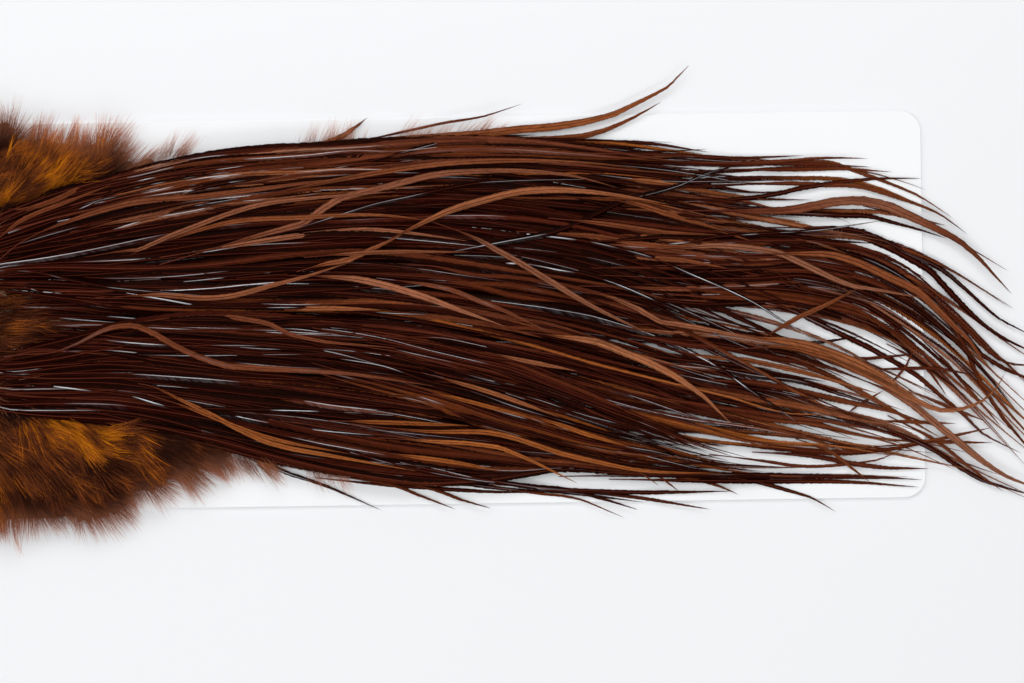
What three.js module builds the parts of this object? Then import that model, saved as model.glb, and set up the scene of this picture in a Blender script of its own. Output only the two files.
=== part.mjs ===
// A rooster saddle for fly tying: a dried patch of skin that carries long saddle hackles, webby side
// plumes and short front feathers, lying on its white backing card.
// Millimetres. +X runs along the hackles from the skin to their tips, +Y across them, +Z up from the table.
// The origin is the centre of the card's underside.

import * as THREE from "three";

const CARD = { length: 304.8, width: 108, thickness: 0.8, corner: 6, arcSteps: 5 };
const REST_GAP = 0.1; // between a piece and what it lies on
const SKIN_THICKNESS = 1.3;
const CARD_TOP = CARD.thickness + REST_GAP;
const SKIN_TOP = CARD_TOP + SKIN_THICKNESS;

// Along X, [x, value]: how high the hackles' lowest layer lies, and how thick each layer is.
const BED_HEIGHT = [[-150, 2.45], [-74, 2.45], [-58, 1.0], [148, 1.0], [165, 0.75], [200, 0.7]];
const LAYER_THICKNESS = [
  [-150, 3.3], [-100, 3.3], [-50, 3.0], [0, 2.6], [50, 2.1], [100, 1.5], [140, 1.1], [200, 0.75],
];
const SIDE_THINNING = 0.5; // share of a layer's thickness lost at the saddle's outer sides
const SIDE_DISTANCE = 52; // from the middle line to where the thinning is full
const SADDLE_MIDDLE = 1; // Y of the saddle's middle line
const LAYER_GAP = 0.3;
const SIDE_GAP = 0.3;
const THINNEST = 0.2; // a lock's least thickness along its ridge

// Where each layer's quills leave the skin, and over what length the layer rises to its full thickness there.
const LAYER_ROOTS = [-90, -108, -124, -140];
const ROOT_RISE = 24;

// Routes that the hackles follow, each [x, y] from skin to tip, from the saddle's upper side to its
// lower side.
// The deep hackles sweep level and then curve down at the tips.
const DEEP_UPPER = [
  [[-140, 12], [-105, 28.6], [-80, 37.4], [-50, 43.9], [-20, 45.9], [20, 47.9], [50, 47.2], [80, 44.5],
    [110, 42.2], [135, 40.5], [165, 30]],
  [[-140, 10], [-105, 24.6], [-80, 32], [-50, 38.5], [-20, 41], [20, 42.6], [50, 42], [80, 40.6],
    [110, 39], [135, 35.6], [158, 25], [175, 13]],
  [[-140, 8.5], [-105, 20.5], [-80, 27], [-50, 33], [-20, 36], [20, 37.4], [50, 36.8], [80, 35.4],
    [110, 34], [135, 31], [162, 19.5], [180, 4]],
  [[-140, 7.5], [-105, 17], [-80, 22], [-50, 27], [-20, 30], [20, 31.2], [50, 30], [80, 28.8],
    [110, 27.5], [133, 26.6], [150, 21.4], [163, 13.5], [176, 2]],
  [[-140, 6.6], [-105, 14], [-80, 16.5], [-50, 20], [-20, 23], [20, 24], [50, 22.8], [80, 21.8],
    [110, 21], [130, 19.4], [147, 13.5], [162, 4.4], [180, -8.5], [195, -16]],
  [[-140, 5.6], [-105, 11.5], [-80, 11.4], [-50, 13], [-20, 15.6], [20, 16], [50, 15], [80, 14.4],
    [110, 14.4], [130, 12], [147, 4], [162, -7], [182, -25], [195, -35]],
  [[-140, 4.6], [-105, 9.4], [-80, 6.6], [-50, 6], [-20, 7.6], [20, 8], [50, 7.4], [80, 7.2],
    [110, 7.6], [128, 5], [145, -3.6], [160, -15.4], [176, -31], [190, -44]],
  [[-140, 3.6], [-105, 7.4], [-80, 2.4], [-50, -0.4], [-20, 0], [20, 0], [50, 0], [80, 0.4], [110, 1.6],
    [125, 0], [140, -8.4], [155, -21], [170, -35.5], [185, -48]],
];
const DEEP_LOWER = [
  [[-140, -4], [-105, -9.6], [-90, -7], [-72, -2.4], [-50, -1.2], [-20, -0.8], [20, -1.2], [50, -3.5],
    [80, -7.6], [105, -11.6], [125, -16.6], [145, -24], [156, -32], [175, -46]],
  [[-140, -6], [-105, -13.6], [-80, -11], [-50, -11.6], [-20, -12.2], [20, -13.6], [50, -16], [80, -19],
    [105, -23], [125, -29], [150, -38.5], [165, -45.6], [185, -52]],
  [[-140, -7.6], [-105, -17.6], [-80, -17], [-50, -20.2], [-20, -22], [20, -24.6], [50, -27],
    [80, -29.4], [105, -32.6], [125, -35.8], [150, -40.6], [168, -47], [185, -54]],
  [[-140, -9], [-105, -22], [-80, -23], [-50, -27.6], [-20, -31], [20, -35], [50, -37], [80, -38.6],
    [105, -40.4], [130, -42.4], [152, -45.4], [180, -54.4]],
  [[-140, -11], [-105, -26.2], [-80, -28.2], [-50, -34.8], [-20, -42.4], [20, -47.4], [50, -49],
    [80, -49.4], [110, -49.6], [135, -49.8], [150, -51], [180, -56]],
];
// The hackles on the surface fan out more steeply towards the lower side.
const SURFACE_UPPER = [
  [[-140, 14], [-105, 28.6], [-80, 37.4], [-50, 43.9], [-20, 45.9], [20, 47.9], [50, 47.2], [80, 44.3],
    [110, 41.6]],
  [[-140, 12], [-105, 24.8], [-80, 32.6], [-50, 39], [-20, 41.4], [20, 42.6], [50, 41.8], [80, 39.2],
    [110, 37.6]],
  [[-140, 10], [-105, 21], [-80, 27.4], [-50, 33.4], [-20, 36.4], [20, 37.6], [50, 36], [80, 32.4],
    [110, 28]],
  [[-140, 8.6], [-105, 17.4], [-80, 22], [-50, 27], [-20, 30], [20, 31], [50, 28.4], [80, 23.4], [110, 15]],
  [[-140, 7], [-105, 14], [-80, 16.4], [-50, 19.4], [-20, 22], [10, 22.6], [40, 19.6], [70, 13.6],
    [100, 3.6], [125, -9], [150, -25]],
  [[-140, 5.6], [-105, 11], [-80, 10], [-50, 9.8], [-20, 11], [10, 10], [40, 5.4], [70, -2],
    [100, -13.4], [125, -24.4], [150, -36]],
  [[-140, 4], [-105, 8], [-80, 4], [-50, 1.8], [-20, 0.8], [10, -1.6], [40, -7.6], [70, -16],
    [100, -27], [125, -35], [150, -41.6]],
];
const SURFACE_LOWER = [
  [[-140, -4], [-105, -9.6], [-90, -7], [-76, -2.6], [-50, -0.2], [-20, -1.2], [10, -3.4], [40, -9.2],
    [70, -17.4], [100, -28.2], [125, -36], [150, -42.4]],
  [[-140, -6], [-105, -14], [-80, -11.6], [-50, -11.6], [-20, -13.8], [10, -17.4], [40, -23.6],
    [70, -31], [100, -38.6], [130, -44]],
  [[-140, -8], [-105, -18], [-80, -17.6], [-50, -20.6], [-20, -25], [10, -29.2], [40, -34.8],
    [70, -40.6], [100, -45], [130, -47.6]],
  [[-140, -9.6], [-105, -22.4], [-80, -23], [-50, -27.8], [-20, -33.8], [10, -38.4], [40, -42.8],
    [70, -46.4], [100, -48.6]],
  [[-140, -11], [-105, -26.2], [-80, -28.2], [-50, -34.8], [-20, -42.4], [10, -46.6], [40, -49.4],
    [70, -51], [100, -51.6]],
];

// Where the locks of each layer end, in X, from the upper side to the lower side. Layer 0 is the lowest.
const LOCK_TIPS = [
  { upper: [118, 158, 163, 176, 188, 189, 186], lower: [168, 184, 172, 150, 148] },
  { upper: [92, 136, 142, 152, 150, 158], lower: [160, 165, 142, 128] },
  { upper: [86, 108, 104, 122, 132, 138], lower: [146, 130, 118, 92] },
];

const SURFACE_SHARE = [0, 0.5, 1]; // how far each layer follows the surface routes instead of the deep ones
const LOCK_TAPER = 78; // length over which a lock narrows to its tip
const TAPER_POWER = 1.5;
const QUILL_SHARE = 0.4; // a lock's width where it leaves the skin, as a share of its full width
const QUILL_LENGTH = 36; // over which it widens
const LONG_STEP = 15; // between a hackle's cross-sections, on its straight length
const SHORT_STEP = 8; // and past CURL_START, where it curls
const CURL_START = 110;
const EXTRA_STEPS = 5; // a single's cross-sections beyond one per LONG_STEP

// Single hackles that stand out from the rest. Each lies on the top layer and comes down past the
// saddle's side, apart from those marked deep, which lie on the card beside the lowest layer.
const SINGLE_THICKNESS = 0.8;
const SINGLES = [
  { name: "hackle_upper_stray", deep: true, width: 3.4, taper: 46,
    route: [[-14, 48.2], [20, 49.8], [40, 50], [50, 50.8], [60, 52.4], [70, 55.4], [78, 59.6],
      [87.5, 66.5]] },
  { name: "hackle_upper_short_stray", width: 2.6, taper: 34,
    route: [[-100, 28], [-80, 36], [-50, 42.4], [-20, 44.6], [20, 46.6], [45, 46.8], [56, 47.8],
      [63, 49.2], [70, 51.8], [79, 57]] },
  { name: "hackle_rising_ribbon", width: 3, taper: 40,
    route: [[-104, 13], [-70, 15.6], [-45, 19], [-30, 22], [-18, 26], [-9, 31.6], [5, 35], [20, 38.2],
      [35, 38.8], [50, 38], [62, 35.4]] },
  { name: "hackle_second_ribbon", width: 2.8, taper: 40,
    route: [[-104, 8.6], [-84, 6.4], [-60, 5], [-45, 5.2], [-33, 7], [-13, 12.5], [0, 18], [14, 24.2],
      [25, 29.4], [35, 32.2], [45, 33], [58, 32.2], [73, 29]] },
  { name: "hackle_slanting_ribbon", width: 2.6, taper: 40,
    route: [[12, 20], [25, 17.8], [35, 14], [42, 10.6], [50, 6], [58, 1.6], [70, -4.6], [84, -12.4],
      [95, -20]] },
  { name: "hackle_wavy_ribbon", width: 2.8, taper: 44,
    route: [[-100, -10.2], [-90, -9.6], [-82, -6.8], [-75, -3.6], [-68, -3.2], [-60, -6], [-52, -10.4],
      [-42, -13.4], [-30, -15], [-15, -16.4], [0, -17.6], [12, -20]] },
  { name: "hackle_lower_ribbon", width: 2.8, taper: 44,
    route: [[-96, -20], [-80, -19], [-64, -20.4], [-50, -25.4], [-40, -30], [-30, -34.6], [-20, -37.6],
      [-6, -40.8], [10, -44], [24, -46.4]] },
  { name: "hackle_lower_stray", width: 2.2, taper: 30,
    route: [[-92, -25.4], [-75, -26.6], [-60, -30], [-45, -35.4], [-30, -40.8], [-15, -48.4],
      [-1, -54.8]] },
  { name: "hackle_lower_near_stray", deep: true, width: 2, taper: 26,
    route: [[-18, -44.6], [-8, -46.4], [4, -48.8], [18, -51.8], [30, -55]] },
  { name: "hackle_lower_middle_stray", deep: true, width: 2.2, taper: 30,
    route: [[26, -49.6], [42, -50.6], [58, -51.8], [74, -53.6], [91, -56.4]] },
  { name: "hackle_lower_far_stray", width: 2.2, taper: 36,
    route: [[20, -46.6], [45, -47.4], [70, -47.6], [90, -48.6], [104, -50], [115, -53], [125, -57]] },
  { name: "hackle_tip_ribbon", width: 4.2, taper: 52,
    route: [[60, 29.4], [85, 27.2], [107, 26.8], [120, 27.2], [132, 28.2], [142, 27], [152, 22.6],
      [162, 16.4], [170, 9], [175.5, 3.4]] },
];
const SINGLE_ABOVE = 0.35; // gap between a single and the top layer
const LANDING = 10; // width of the saddle's side over which a single comes down
const LANDED_SHARE = 0.8; // its height there, as a share of the top layer's
const TIP_HEIGHT = 1.3;
const EDGE_SHARE = 0.4; // how high a feather's edges lie, as a share of its thickness

// Webby plumes fan out from the skin's two sides. Each lies between two neighbouring routes, [x, y]
// from skin to tip.
const PLUME_ROUTES = {
  upper: [
    [[-111, 27.2], [-100, 32.2], [-85, 37.4], [-70, 42], [-53, 44.6]],
    [[-115, 27.4], [-105, 35], [-91, 43], [-77, 48.2], [-65, 50.6]],
    [[-120, 27.6], [-113, 36], [-103, 46], [-92, 52.6], [-84, 54.6]],
    [[-127, 26.6], [-124, 37], [-117, 48], [-108, 57], [-101, 60]],
    [[-136, 23.6], [-138, 34], [-136, 46], [-130, 56], [-124, 61]],
  ],
  lower: [
    [[-109, -26.6], [-95, -27.6], [-75, -30], [-60, -33.4], [-48, -39], [-36, -46.6]],
    [[-113, -26.2], [-97, -31.4], [-80, -36.6], [-65, -42.6], [-50, -49.6]],
    [[-117, -25.6], [-103, -35.6], [-88, -44.6], [-74, -52.6], [-66, -59]],
    [[-121, -24.6], [-112, -37], [-101, -48], [-89, -57], [-81, -62]],
    [[-127, -22.6], [-123, -37], [-115, -50], [-105, -59], [-99, -62.4]],
    [[-135, -19.6], [-137, -34], [-134, -47], [-127, -57], [-121, -61]],
  ],
};
const PLUME_GAP = 0.7; // between neighbouring plumes
const PLUME_TEETH = 8; // tufts along each side and across the outer end
const SIDE_TUFT = 0.9; // how far the tufts on a plume's side stand out
const END_TUFT = 3.4;
const END_BULGE = 3;
const PLUME_HEIGHT = 8.6;
const PLUME_THINNING = 0.55; // share of that height lost at the outer end
const THINNING_START = 0.3; // share of a plume's length
const PLUME_CREST = 0.55; // how far in from the rim the plume reaches its full height
const PLUME_FLOOR = 1.1;
const RIM_SHARE = 0.35; // how high the rim and the crest lie, as shares of the plume's height
const CREST_SHARE = 0.92;
const SPINE_RANGE = [0.1, 0.88]; // the stretch of a plume's middle line that its crest follows

// Short front feathers cover the quills: [root x, root y, tip x, tip y, width, row]
const FRONT_FEATHERS = [
  { root: [-144, 12], tip: [-107, 21], width: 11.5, row: 0 },
  { root: [-146, 3], tip: [-104, 5], width: 11.5, row: 0 },
  { root: [-145, -7], tip: [-107, -13], width: 12, row: 0 },
  { root: [-149, 8.6], tip: [-117, 16.6], width: 14, row: 1 },
  { root: [-150, -2.4], tip: [-116, -4.6], width: 14, row: 1 },
];
const FRONT_THICKNESS = 1.3;
const FRONT_STEPS = 7;
const FRONT_LIFT = 0.5; // of the lower row above the locks
const ROW_LIFT = 3.4; // of the upper row above the lower one
const LIFT_LENGTH = 14; // over which a front feather rises from its root
const FRONT_ROUNDNESS = 0.8;

// The skin's outline, [x, y], round from its front end.
const SKIN_OUTLINE = [
  [-150.5, 2], [-148, 12], [-140, 19], [-126, 23.5], [-110, 26], [-94, 25.5], [-82, 20], [-73, 11],
  [-70, 0], [-74, -10], [-84, -17.5], [-98, -20.5], [-114, -20.5], [-130, -18], [-142, -12], [-149, -6],
];
const SKIN_CURVE_STEPS = 2; // per outline point
const SKIN_RIM = 0.35;

const white = new THREE.MeshStandardMaterial({ color: 0xf4f5f6, roughness: 0.45, metalness: 0 });
const hide = new THREE.MeshStandardMaterial({ color: 0xc9a77a, roughness: 0.6, metalness: 0 });
const mahogany = new THREE.MeshStandardMaterial({ color: 0x3a160b, roughness: 0.4, metalness: 0 });
const ginger = new THREE.MeshStandardMaterial({ color: 0x8a4a20, roughness: 0.55, metalness: 0 });
const fluffBrown = new THREE.MeshStandardMaterial({ color: 0x6b3a1a, roughness: 0.9, metalness: 0 });

const { clamp, degToRad, lerp, smoothstep } = THREE.MathUtils;

// A smooth curve through [x, y] points.
const smooth = (points) => new THREE.SplineCurve(points.map((p) => new THREE.Vector2(...p)));

// The value at x of a smooth curve through [x, value] points.
function valueAt(points, x) {
  const last = points.length - 1;
  let i = 0;
  while (i < last - 1 && x > points[i + 1][0]) i += 1;
  const slope = (k) => {
    const a = points[Math.max(k - 1, 0)];
    const b = points[Math.min(k + 1, last)];
    return (b[1] - a[1]) / (b[0] - a[0]);
  };
  const [x0, y0] = points[i];
  const [x1, y1] = points[i + 1];
  const span = x1 - x0;
  const t = clamp((x - x0) / span, 0, 1);
  const past = x < x0 ? x - x0 : Math.max(x - x1, 0);
  const end = slope(x < x0 ? i : i + 1);
  const t2 = t * t;
  const t3 = t2 * t;
  return (2 * t3 - 3 * t2 + 1) * y0 + (t3 - 2 * t2 + t) * span * slope(i)
    + (3 * t2 - 2 * t3) * y1 + (t3 - t2) * span * slope(i + 1) + past * end;
}

// Straight interpolation through [x, value] points, for heights that must not overshoot.
function straightAt(points, x) {
  let i = 0;
  while (i < points.length - 2 && x > points[i + 1][0]) i += 1;
  const [x0, y0] = points[i];
  const [x1, y1] = points[i + 1];
  return lerp(y0, y1, clamp((x - x0) / (x1 - x0), 0, 1));
}

// Height of the surface under layer number level, 0 to 3, at a place on the saddle.
function layerFloor(level, x, y) {
  const side = clamp(Math.abs(y - SADDLE_MIDDLE) / SIDE_DISTANCE, 0, 1);
  const pitch = straightAt(LAYER_THICKNESS, x) * (1 - SIDE_THINNING * side * side);
  let height = straightAt(BED_HEIGHT, x);
  for (let k = 0; k < level; k += 1) {
    const start = LAYER_ROOTS[k];
    height += pitch * smoothstep(x, start, start + ROOT_RISE);
  }
  return height;
}

// Y at x of the stream that lies a share u of the way across a fan of routes.
function streamY(fan, u, x) {
  const place = clamp(u, 0, 1) * (fan.length - 1);
  const i = Math.min(Math.floor(place), fan.length - 2);
  return lerp(valueAt(fan[i], x), valueAt(fan[i + 1], x), place - i);
}

// X of each cross-section between a hackle's root and its tip.
function sections(root, tip) {
  const list = [root];
  let x = Math.ceil((root + 4) / LONG_STEP) * LONG_STEP;
  while (x < tip - SHORT_STEP / 2) {
    list.push(x);
    x += x < CURL_START - LONG_STEP / 2 ? LONG_STEP : SHORT_STEP;
  }
  list.push(tip);
  return list;
}

// A closed blade through four-cornered sections [left, top, right, bottom]. Its two ends close on a point.
function blade(rings) {
  const position = rings.flat(2);
  const index = [];
  const corners = 4;
  for (let i = 0; i < rings.length - 1; i += 1) {
    for (let k = 0; k < corners; k += 1) {
      const a = i * corners + k;
      const b = i * corners + ((k + 1) % corners);
      const c = a + corners;
      const d = b + corners;
      if (i > 0) index.push(a, b, c);
      if (i === 0) index.push(a, d, c);
      else if (i < rings.length - 2) index.push(b, d, c);
    }
  }
  const geometry = new THREE.BufferGeometry();
  geometry.setAttribute("position", new THREE.Float32BufferAttribute(position, 3));
  geometry.setIndex(index);
  geometry.computeVertexNormals();
  return geometry;
}

// A lock of hackles that lie together: it fills its span of a layer, as shares of the way across the
// fan of routes.
function hackleLock(deepFan, surfaceFan, surfaceShare, span, level, tip) {
  const root = LAYER_ROOTS[level];
  const across = (u, x) => lerp(streamY(deepFan, u, x), streamY(surfaceFan, u, x), surfaceShare);
  const rings = sections(root, tip).map((x) => {
    const left = across(span[0], x) - SIDE_GAP / 2;
    const right = across(span[1], x) + SIDE_GAP / 2;
    const middle = (left + right) / 2;
    const narrowing = clamp((x - (tip - LOCK_TAPER)) / LOCK_TAPER, 0, 1) ** TAPER_POWER;
    const quill = lerp(QUILL_SHARE, 1, smoothstep(x, root, root + QUILL_LENGTH));
    const open = x === root || x === tip ? 0 : (1 - narrowing) * quill;
    const floor = (y) => layerFloor(level, x, y) + LAYER_GAP / 2;
    const roof = (y) => layerFloor(level + 1, x, y) - LAYER_GAP / 2;
    const bottom = floor(middle);
    const top = lerp(bottom, Math.max(roof(middle), bottom + THINNEST), Math.sqrt(open));
    const half = ((left - right) / 2) * open;
    const edge = (y) => (open ? (floor(y) + Math.max(roof(y), floor(y))) / 2 : bottom);
    const edgeHeight = (y) => lerp(bottom, edge(y), Math.sqrt(open));
    return [
      [x, middle + half, edgeHeight(middle + half)],
      [x, middle, top],
      [x, middle - half, edgeHeight(middle - half)],
      [x, middle, bottom],
    ];
  });
  return blade(rings);
}

// A feather's cross-section: left edge, ridge, right edge and underside.
function featherRing(at, along, half, z, height) {
  const side = new THREE.Vector2(-along.y, along.x).multiplyScalar(half);
  return [
    [at.x + side.x, at.y + side.y, z + height * EDGE_SHARE],
    [at.x, at.y, z + height],
    [at.x - side.x, at.y - side.y, z + height * EDGE_SHARE],
    [at.x, at.y, z],
  ];
}

// One hackle that stands out, along its own route.
function singleHackle({ route, width, taper, deep }) {
  const curve = smooth(route);
  const length = curve.getLength();
  const steps = Math.round(length / LONG_STEP) + EXTRA_STEPS;
  const top = LOCK_TIPS.length;
  const rings = Array.from({ length: steps + 1 }, (_, i) => {
    const t = i / steps;
    const at = curve.getPointAt(t);
    const along = curve.getTangentAt(t);
    const narrowing = clamp((t * length - (length - taper)) / taper, 0, 1) ** TAPER_POWER;
    const open = i === 0 || i === steps ? 0 : 1;
    const half = (width / 2) * (1 - narrowing) * open;
    const onSaddle = layerFloor(top, at.x, at.y) + SINGLE_ABOVE;
    const past = deep ? 1 : clamp((Math.abs(at.y - SADDLE_MIDDLE) - SIDE_DISTANCE + LANDING) / LANDING, 0, 1);
    const deepHeight = Math.max(straightAt(BED_HEIGHT, at.x) + LAYER_GAP / 2, TIP_HEIGHT);
    const z = deep ? deepHeight : lerp(onSaddle, Math.max(onSaddle * LANDED_SHARE, TIP_HEIGHT), past);
    const height = SINGLE_THICKNESS * Math.sqrt(1 - narrowing) * open;
    return featherRing(at, along, half, z, height);
  });
  return blade(rings);
}

// A closed body of two rims: an outline on the outside, and the crest rings above and below it.
function pillow(outline, crest, under, peak, base) {
  const n = outline.length;
  const position = [...outline, ...crest, ...under, peak, base].flat();
  const index = [];
  for (let i = 0; i < n; i += 1) {
    const j = (i + 1) % n;
    index.push(i, j, n + i, j, n + j, n + i);
    index.push(j, i, 2 * n + i, j, 2 * n + i, 2 * n + j);
    index.push(n + i, n + j, 3 * n);
    index.push(2 * n + j, 2 * n + i, 3 * n + 1);
  }
  const geometry = new THREE.BufferGeometry();
  geometry.setAttribute("position", new THREE.Float32BufferAttribute(position, 3));
  geometry.setIndex(index);
  geometry.computeVertexNormals();
  return geometry;
}

// A webby plume between two routes, with tufts along its sides and across its outer end.
function plume(fromRoute, toRoute) {
  const [from, to] = [smooth(fromRoute), smooth(toRoute)];
  const middle = (t) => from.getPointAt(t).lerp(to.getPointAt(t), 0.5);
  const even = (k) => k % 2 === 0;
  const side = (curve, k) => {
    const t = k / PLUME_TEETH;
    const point = curve.getPointAt(t);
    const inward = middle(t).sub(point).setLength(PLUME_GAP / 2 + (even(k) ? 0 : SIDE_TUFT));
    return { t, point: point.add(inward) };
  };
  const tips = [side(from, PLUME_TEETH).point, side(to, PLUME_TEETH).point];
  const ahead = middle(1).sub(middle(0.9)).normalize();
  const end = (k) => {
    const share = k / PLUME_TEETH;
    const reach = END_BULGE * Math.sin(Math.PI * share) - (even(k) ? 0 : END_TUFT);
    return { t: 1, point: tips[0].clone().lerp(tips[1], share).addScaledVector(ahead, reach) };
  };
  const steps = Array.from({ length: PLUME_TEETH + 1 }, (_, k) => k);
  const outline = [
    ...steps.map((k) => side(from, k)),
    ...steps.slice(1, -1).map(end),
    ...steps.toReversed().map((k) => side(to, k)),
  ];
  if (THREE.ShapeUtils.isClockWise(outline.map((p) => p.point))) outline.reverse();
  const rise = (t) => PLUME_HEIGHT * (1 - PLUME_THINNING * smoothstep(t, THINNING_START, 1));
  const crestPoint = ({ t, point }) => point.clone().lerp(middle(clamp(t, ...SPINE_RANGE)), PLUME_CREST);
  const rim = outline.map(({ t, point }) => [point.x, point.y, PLUME_FLOOR + RIM_SHARE * rise(t)]);
  const crest = outline.map((p) => [...crestPoint(p).toArray(), PLUME_FLOOR + CREST_SHARE * rise(p.t)]);
  const under = outline.map((p) => [...crestPoint(p).toArray(), PLUME_FLOOR]);
  const centre = middle(0.5).toArray();
  return pillow(rim, crest, under, [...centre, PLUME_FLOOR + rise(0.5)], [...centre, PLUME_FLOOR]);
}

// A short broad feather that lies over the quills, its root on the skin.
function frontFeather({ root, tip, width, row }) {
  const [from, to] = [new THREE.Vector2(...root), new THREE.Vector2(...tip)];
  const length = from.distanceTo(to);
  const along = to.clone().sub(from).normalize();
  const rings = Array.from({ length: FRONT_STEPS + 1 }, (_, i) => {
    const t = i / FRONT_STEPS;
    const at = from.clone().lerp(to, t);
    const closed = i === 0 || i === FRONT_STEPS;
    const open = closed ? 0 : Math.sin(Math.PI * t) ** FRONT_ROUNDNESS;
    const lift = smoothstep(t * length, 0, LIFT_LENGTH) * (FRONT_LIFT + row * ROW_LIFT);
    const z = layerFloor(LOCK_TIPS.length, at.x, at.y) + SINGLE_ABOVE + lift;
    return featherRing(at, along, (width / 2) * open, z, FRONT_THICKNESS * Math.sqrt(open));
  });
  return blade(rings);
}

function cardGeometry() {
  const { length, width, thickness, corner, arcSteps } = CARD;
  const x = length / 2 - corner;
  const y = width / 2 - corner;
  const shape = new THREE.Shape();
  shape.absarc(x, y, corner, 0, Math.PI / 2);
  shape.absarc(-x, y, corner, Math.PI / 2, Math.PI);
  shape.absarc(-x, -y, corner, Math.PI, 1.5 * Math.PI);
  shape.absarc(x, -y, corner, 1.5 * Math.PI, 2 * Math.PI);
  return new THREE.ExtrudeGeometry(shape, { depth: thickness, bevelEnabled: false, curveSegments: arcSteps });
}

function skinGeometry() {
  const curve = smooth([...SKIN_OUTLINE, SKIN_OUTLINE[0]]);
  const points = curve.getPoints(SKIN_OUTLINE.length * SKIN_CURVE_STEPS).slice(0, -1);
  const shape = new THREE.Shape(points.reverse());
  const geometry = new THREE.ExtrudeGeometry(shape, {
    depth: SKIN_THICKNESS - 2 * SKIN_RIM,
    bevelThickness: SKIN_RIM,
    bevelSize: SKIN_RIM,
    bevelSegments: 1,
  });
  return geometry.translate(0, 0, CARD_TOP + SKIN_RIM);
}

const saddle = new THREE.Group();

function add(name, geometry, material) {
  const mesh = new THREE.Mesh(geometry, material);
  mesh.name = name;
  saddle.add(mesh);
}

function addLocks() {
  LOCK_TIPS.forEach((tips, level) => {
    for (const side of ["upper", "lower"]) {
      const deep = side === "upper" ? DEEP_UPPER : DEEP_LOWER;
      const surface = side === "upper" ? SURFACE_UPPER : SURFACE_LOWER;
      tips[side].forEach((tip, k) => {
        const span = [k / tips[side].length, (k + 1) / tips[side].length];
        const geometry = hackleLock(deep, surface, SURFACE_SHARE[level], span, level, tip);
        add(`hackles_${side}_layer${level + 1}_${k + 1}`, geometry, mahogany);
      });
    }
  });
}

function addPlumes() {
  for (const [side, routes] of Object.entries(PLUME_ROUTES)) {
    routes.slice(1).forEach((route, k) => {
      add(`side_plume_${side}_${k + 1}`, plume(routes[k], route), fluffBrown);
    });
  }
}

add("backing_card", cardGeometry(), white);
add("skin", skinGeometry(), hide);
addLocks();
SINGLES.forEach((single) => add(single.name, singleHackle(single), ginger));
addPlumes();
FRONT_FEATHERS.forEach((feather, k) => add(`front_feather_${k + 1}`, frontFeather(feather), fluffBrown));

export default saddle;
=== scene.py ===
import math
import random

import bmesh
import bpy
import numpy as np
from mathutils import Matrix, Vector, noise
from mathutils.bvhtree import BVHTree


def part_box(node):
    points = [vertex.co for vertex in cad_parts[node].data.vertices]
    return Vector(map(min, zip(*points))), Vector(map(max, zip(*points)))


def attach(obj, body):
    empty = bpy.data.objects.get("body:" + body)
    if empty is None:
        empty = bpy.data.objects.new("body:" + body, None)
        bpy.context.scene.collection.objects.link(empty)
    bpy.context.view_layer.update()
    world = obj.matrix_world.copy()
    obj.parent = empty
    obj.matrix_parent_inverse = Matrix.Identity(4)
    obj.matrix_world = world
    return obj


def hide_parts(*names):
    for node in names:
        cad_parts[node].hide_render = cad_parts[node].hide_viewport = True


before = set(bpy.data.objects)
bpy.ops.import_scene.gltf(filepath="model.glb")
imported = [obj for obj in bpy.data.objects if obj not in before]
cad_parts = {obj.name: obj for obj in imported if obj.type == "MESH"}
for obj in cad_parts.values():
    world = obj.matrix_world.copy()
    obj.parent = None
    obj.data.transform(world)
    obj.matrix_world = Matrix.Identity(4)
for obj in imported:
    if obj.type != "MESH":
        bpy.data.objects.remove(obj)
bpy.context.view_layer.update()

# Rooster saddle on its backing card. Routes below are in millimetres, Blender's units are metres.
mm = 0.001
phases = (0, 6.28)  # radians
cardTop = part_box("backing_card")[1].z
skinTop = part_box("skin")[1].z


def addObject(name, data):
    obj = bpy.data.objects.new(name, data)
    bpy.context.scene.collection.objects.link(obj)
    return obj


# Node helpers. A socket knows its own tree.

def addNode(tree, kind, values=None, **settings):
    node = tree.nodes.new(kind)
    for key, value in settings.items():
        setattr(node, key, value)
    for key, value in (values or {}).items():
        if isinstance(value, bpy.types.NodeSocket):
            tree.links.new(value, node.inputs[key])
        else:
            node.inputs[key].default_value = value
    return node


def treeOf(*values):
    return next(value.id_data for value in values if isinstance(value, bpy.types.NodeSocket))


def calculate(operation, a, b=0.0, c=0.0, clamp=False):
    values = {0: a, 1: b, 2: c}
    return addNode(treeOf(a, b, c), "ShaderNodeMath", values, operation=operation, use_clamp=clamp).outputs[0]


def times(product, *factors):
    for factor in factors:
        product = calculate("MULTIPLY", product, factor)
    return product


def linear(a, factor, offset, clamp=False):
    return calculate("MULTIPLY_ADD", a, factor, offset, clamp)


def vectorMath(operation, a, b=None, scale=None):
    values = {key: value for key, value in ((0, a), (1, b), ("Scale", scale)) if value is not None}
    return addNode(treeOf(a, b), "ShaderNodeVectorMath", values, operation=operation).outputs[0]


def combine(x, y, z):
    return addNode(treeOf(x, y, z), "ShaderNodeCombineXYZ", {0: x, 1: y, 2: z}).outputs[0]


def separate(vector):
    return addNode(vector.id_data, "ShaderNodeSeparateXYZ", {0: vector}).outputs


def newTree(name, inputs):
    tree = bpy.data.node_groups.new(name, "GeometryNodeTree")
    tree.interface.new_socket(name="Geometry", in_out="INPUT", socket_type="NodeSocketGeometry")
    for label, kind, value in inputs:
        socket = tree.interface.new_socket(name=label, in_out="INPUT", socket_type=kind)
        if value is not None:
            socket.default_value = value
    tree.interface.new_socket(name="Geometry", in_out="OUTPUT", socket_type="NodeSocketGeometry")
    return tree, tree.nodes.new("NodeGroupInput").outputs


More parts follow.
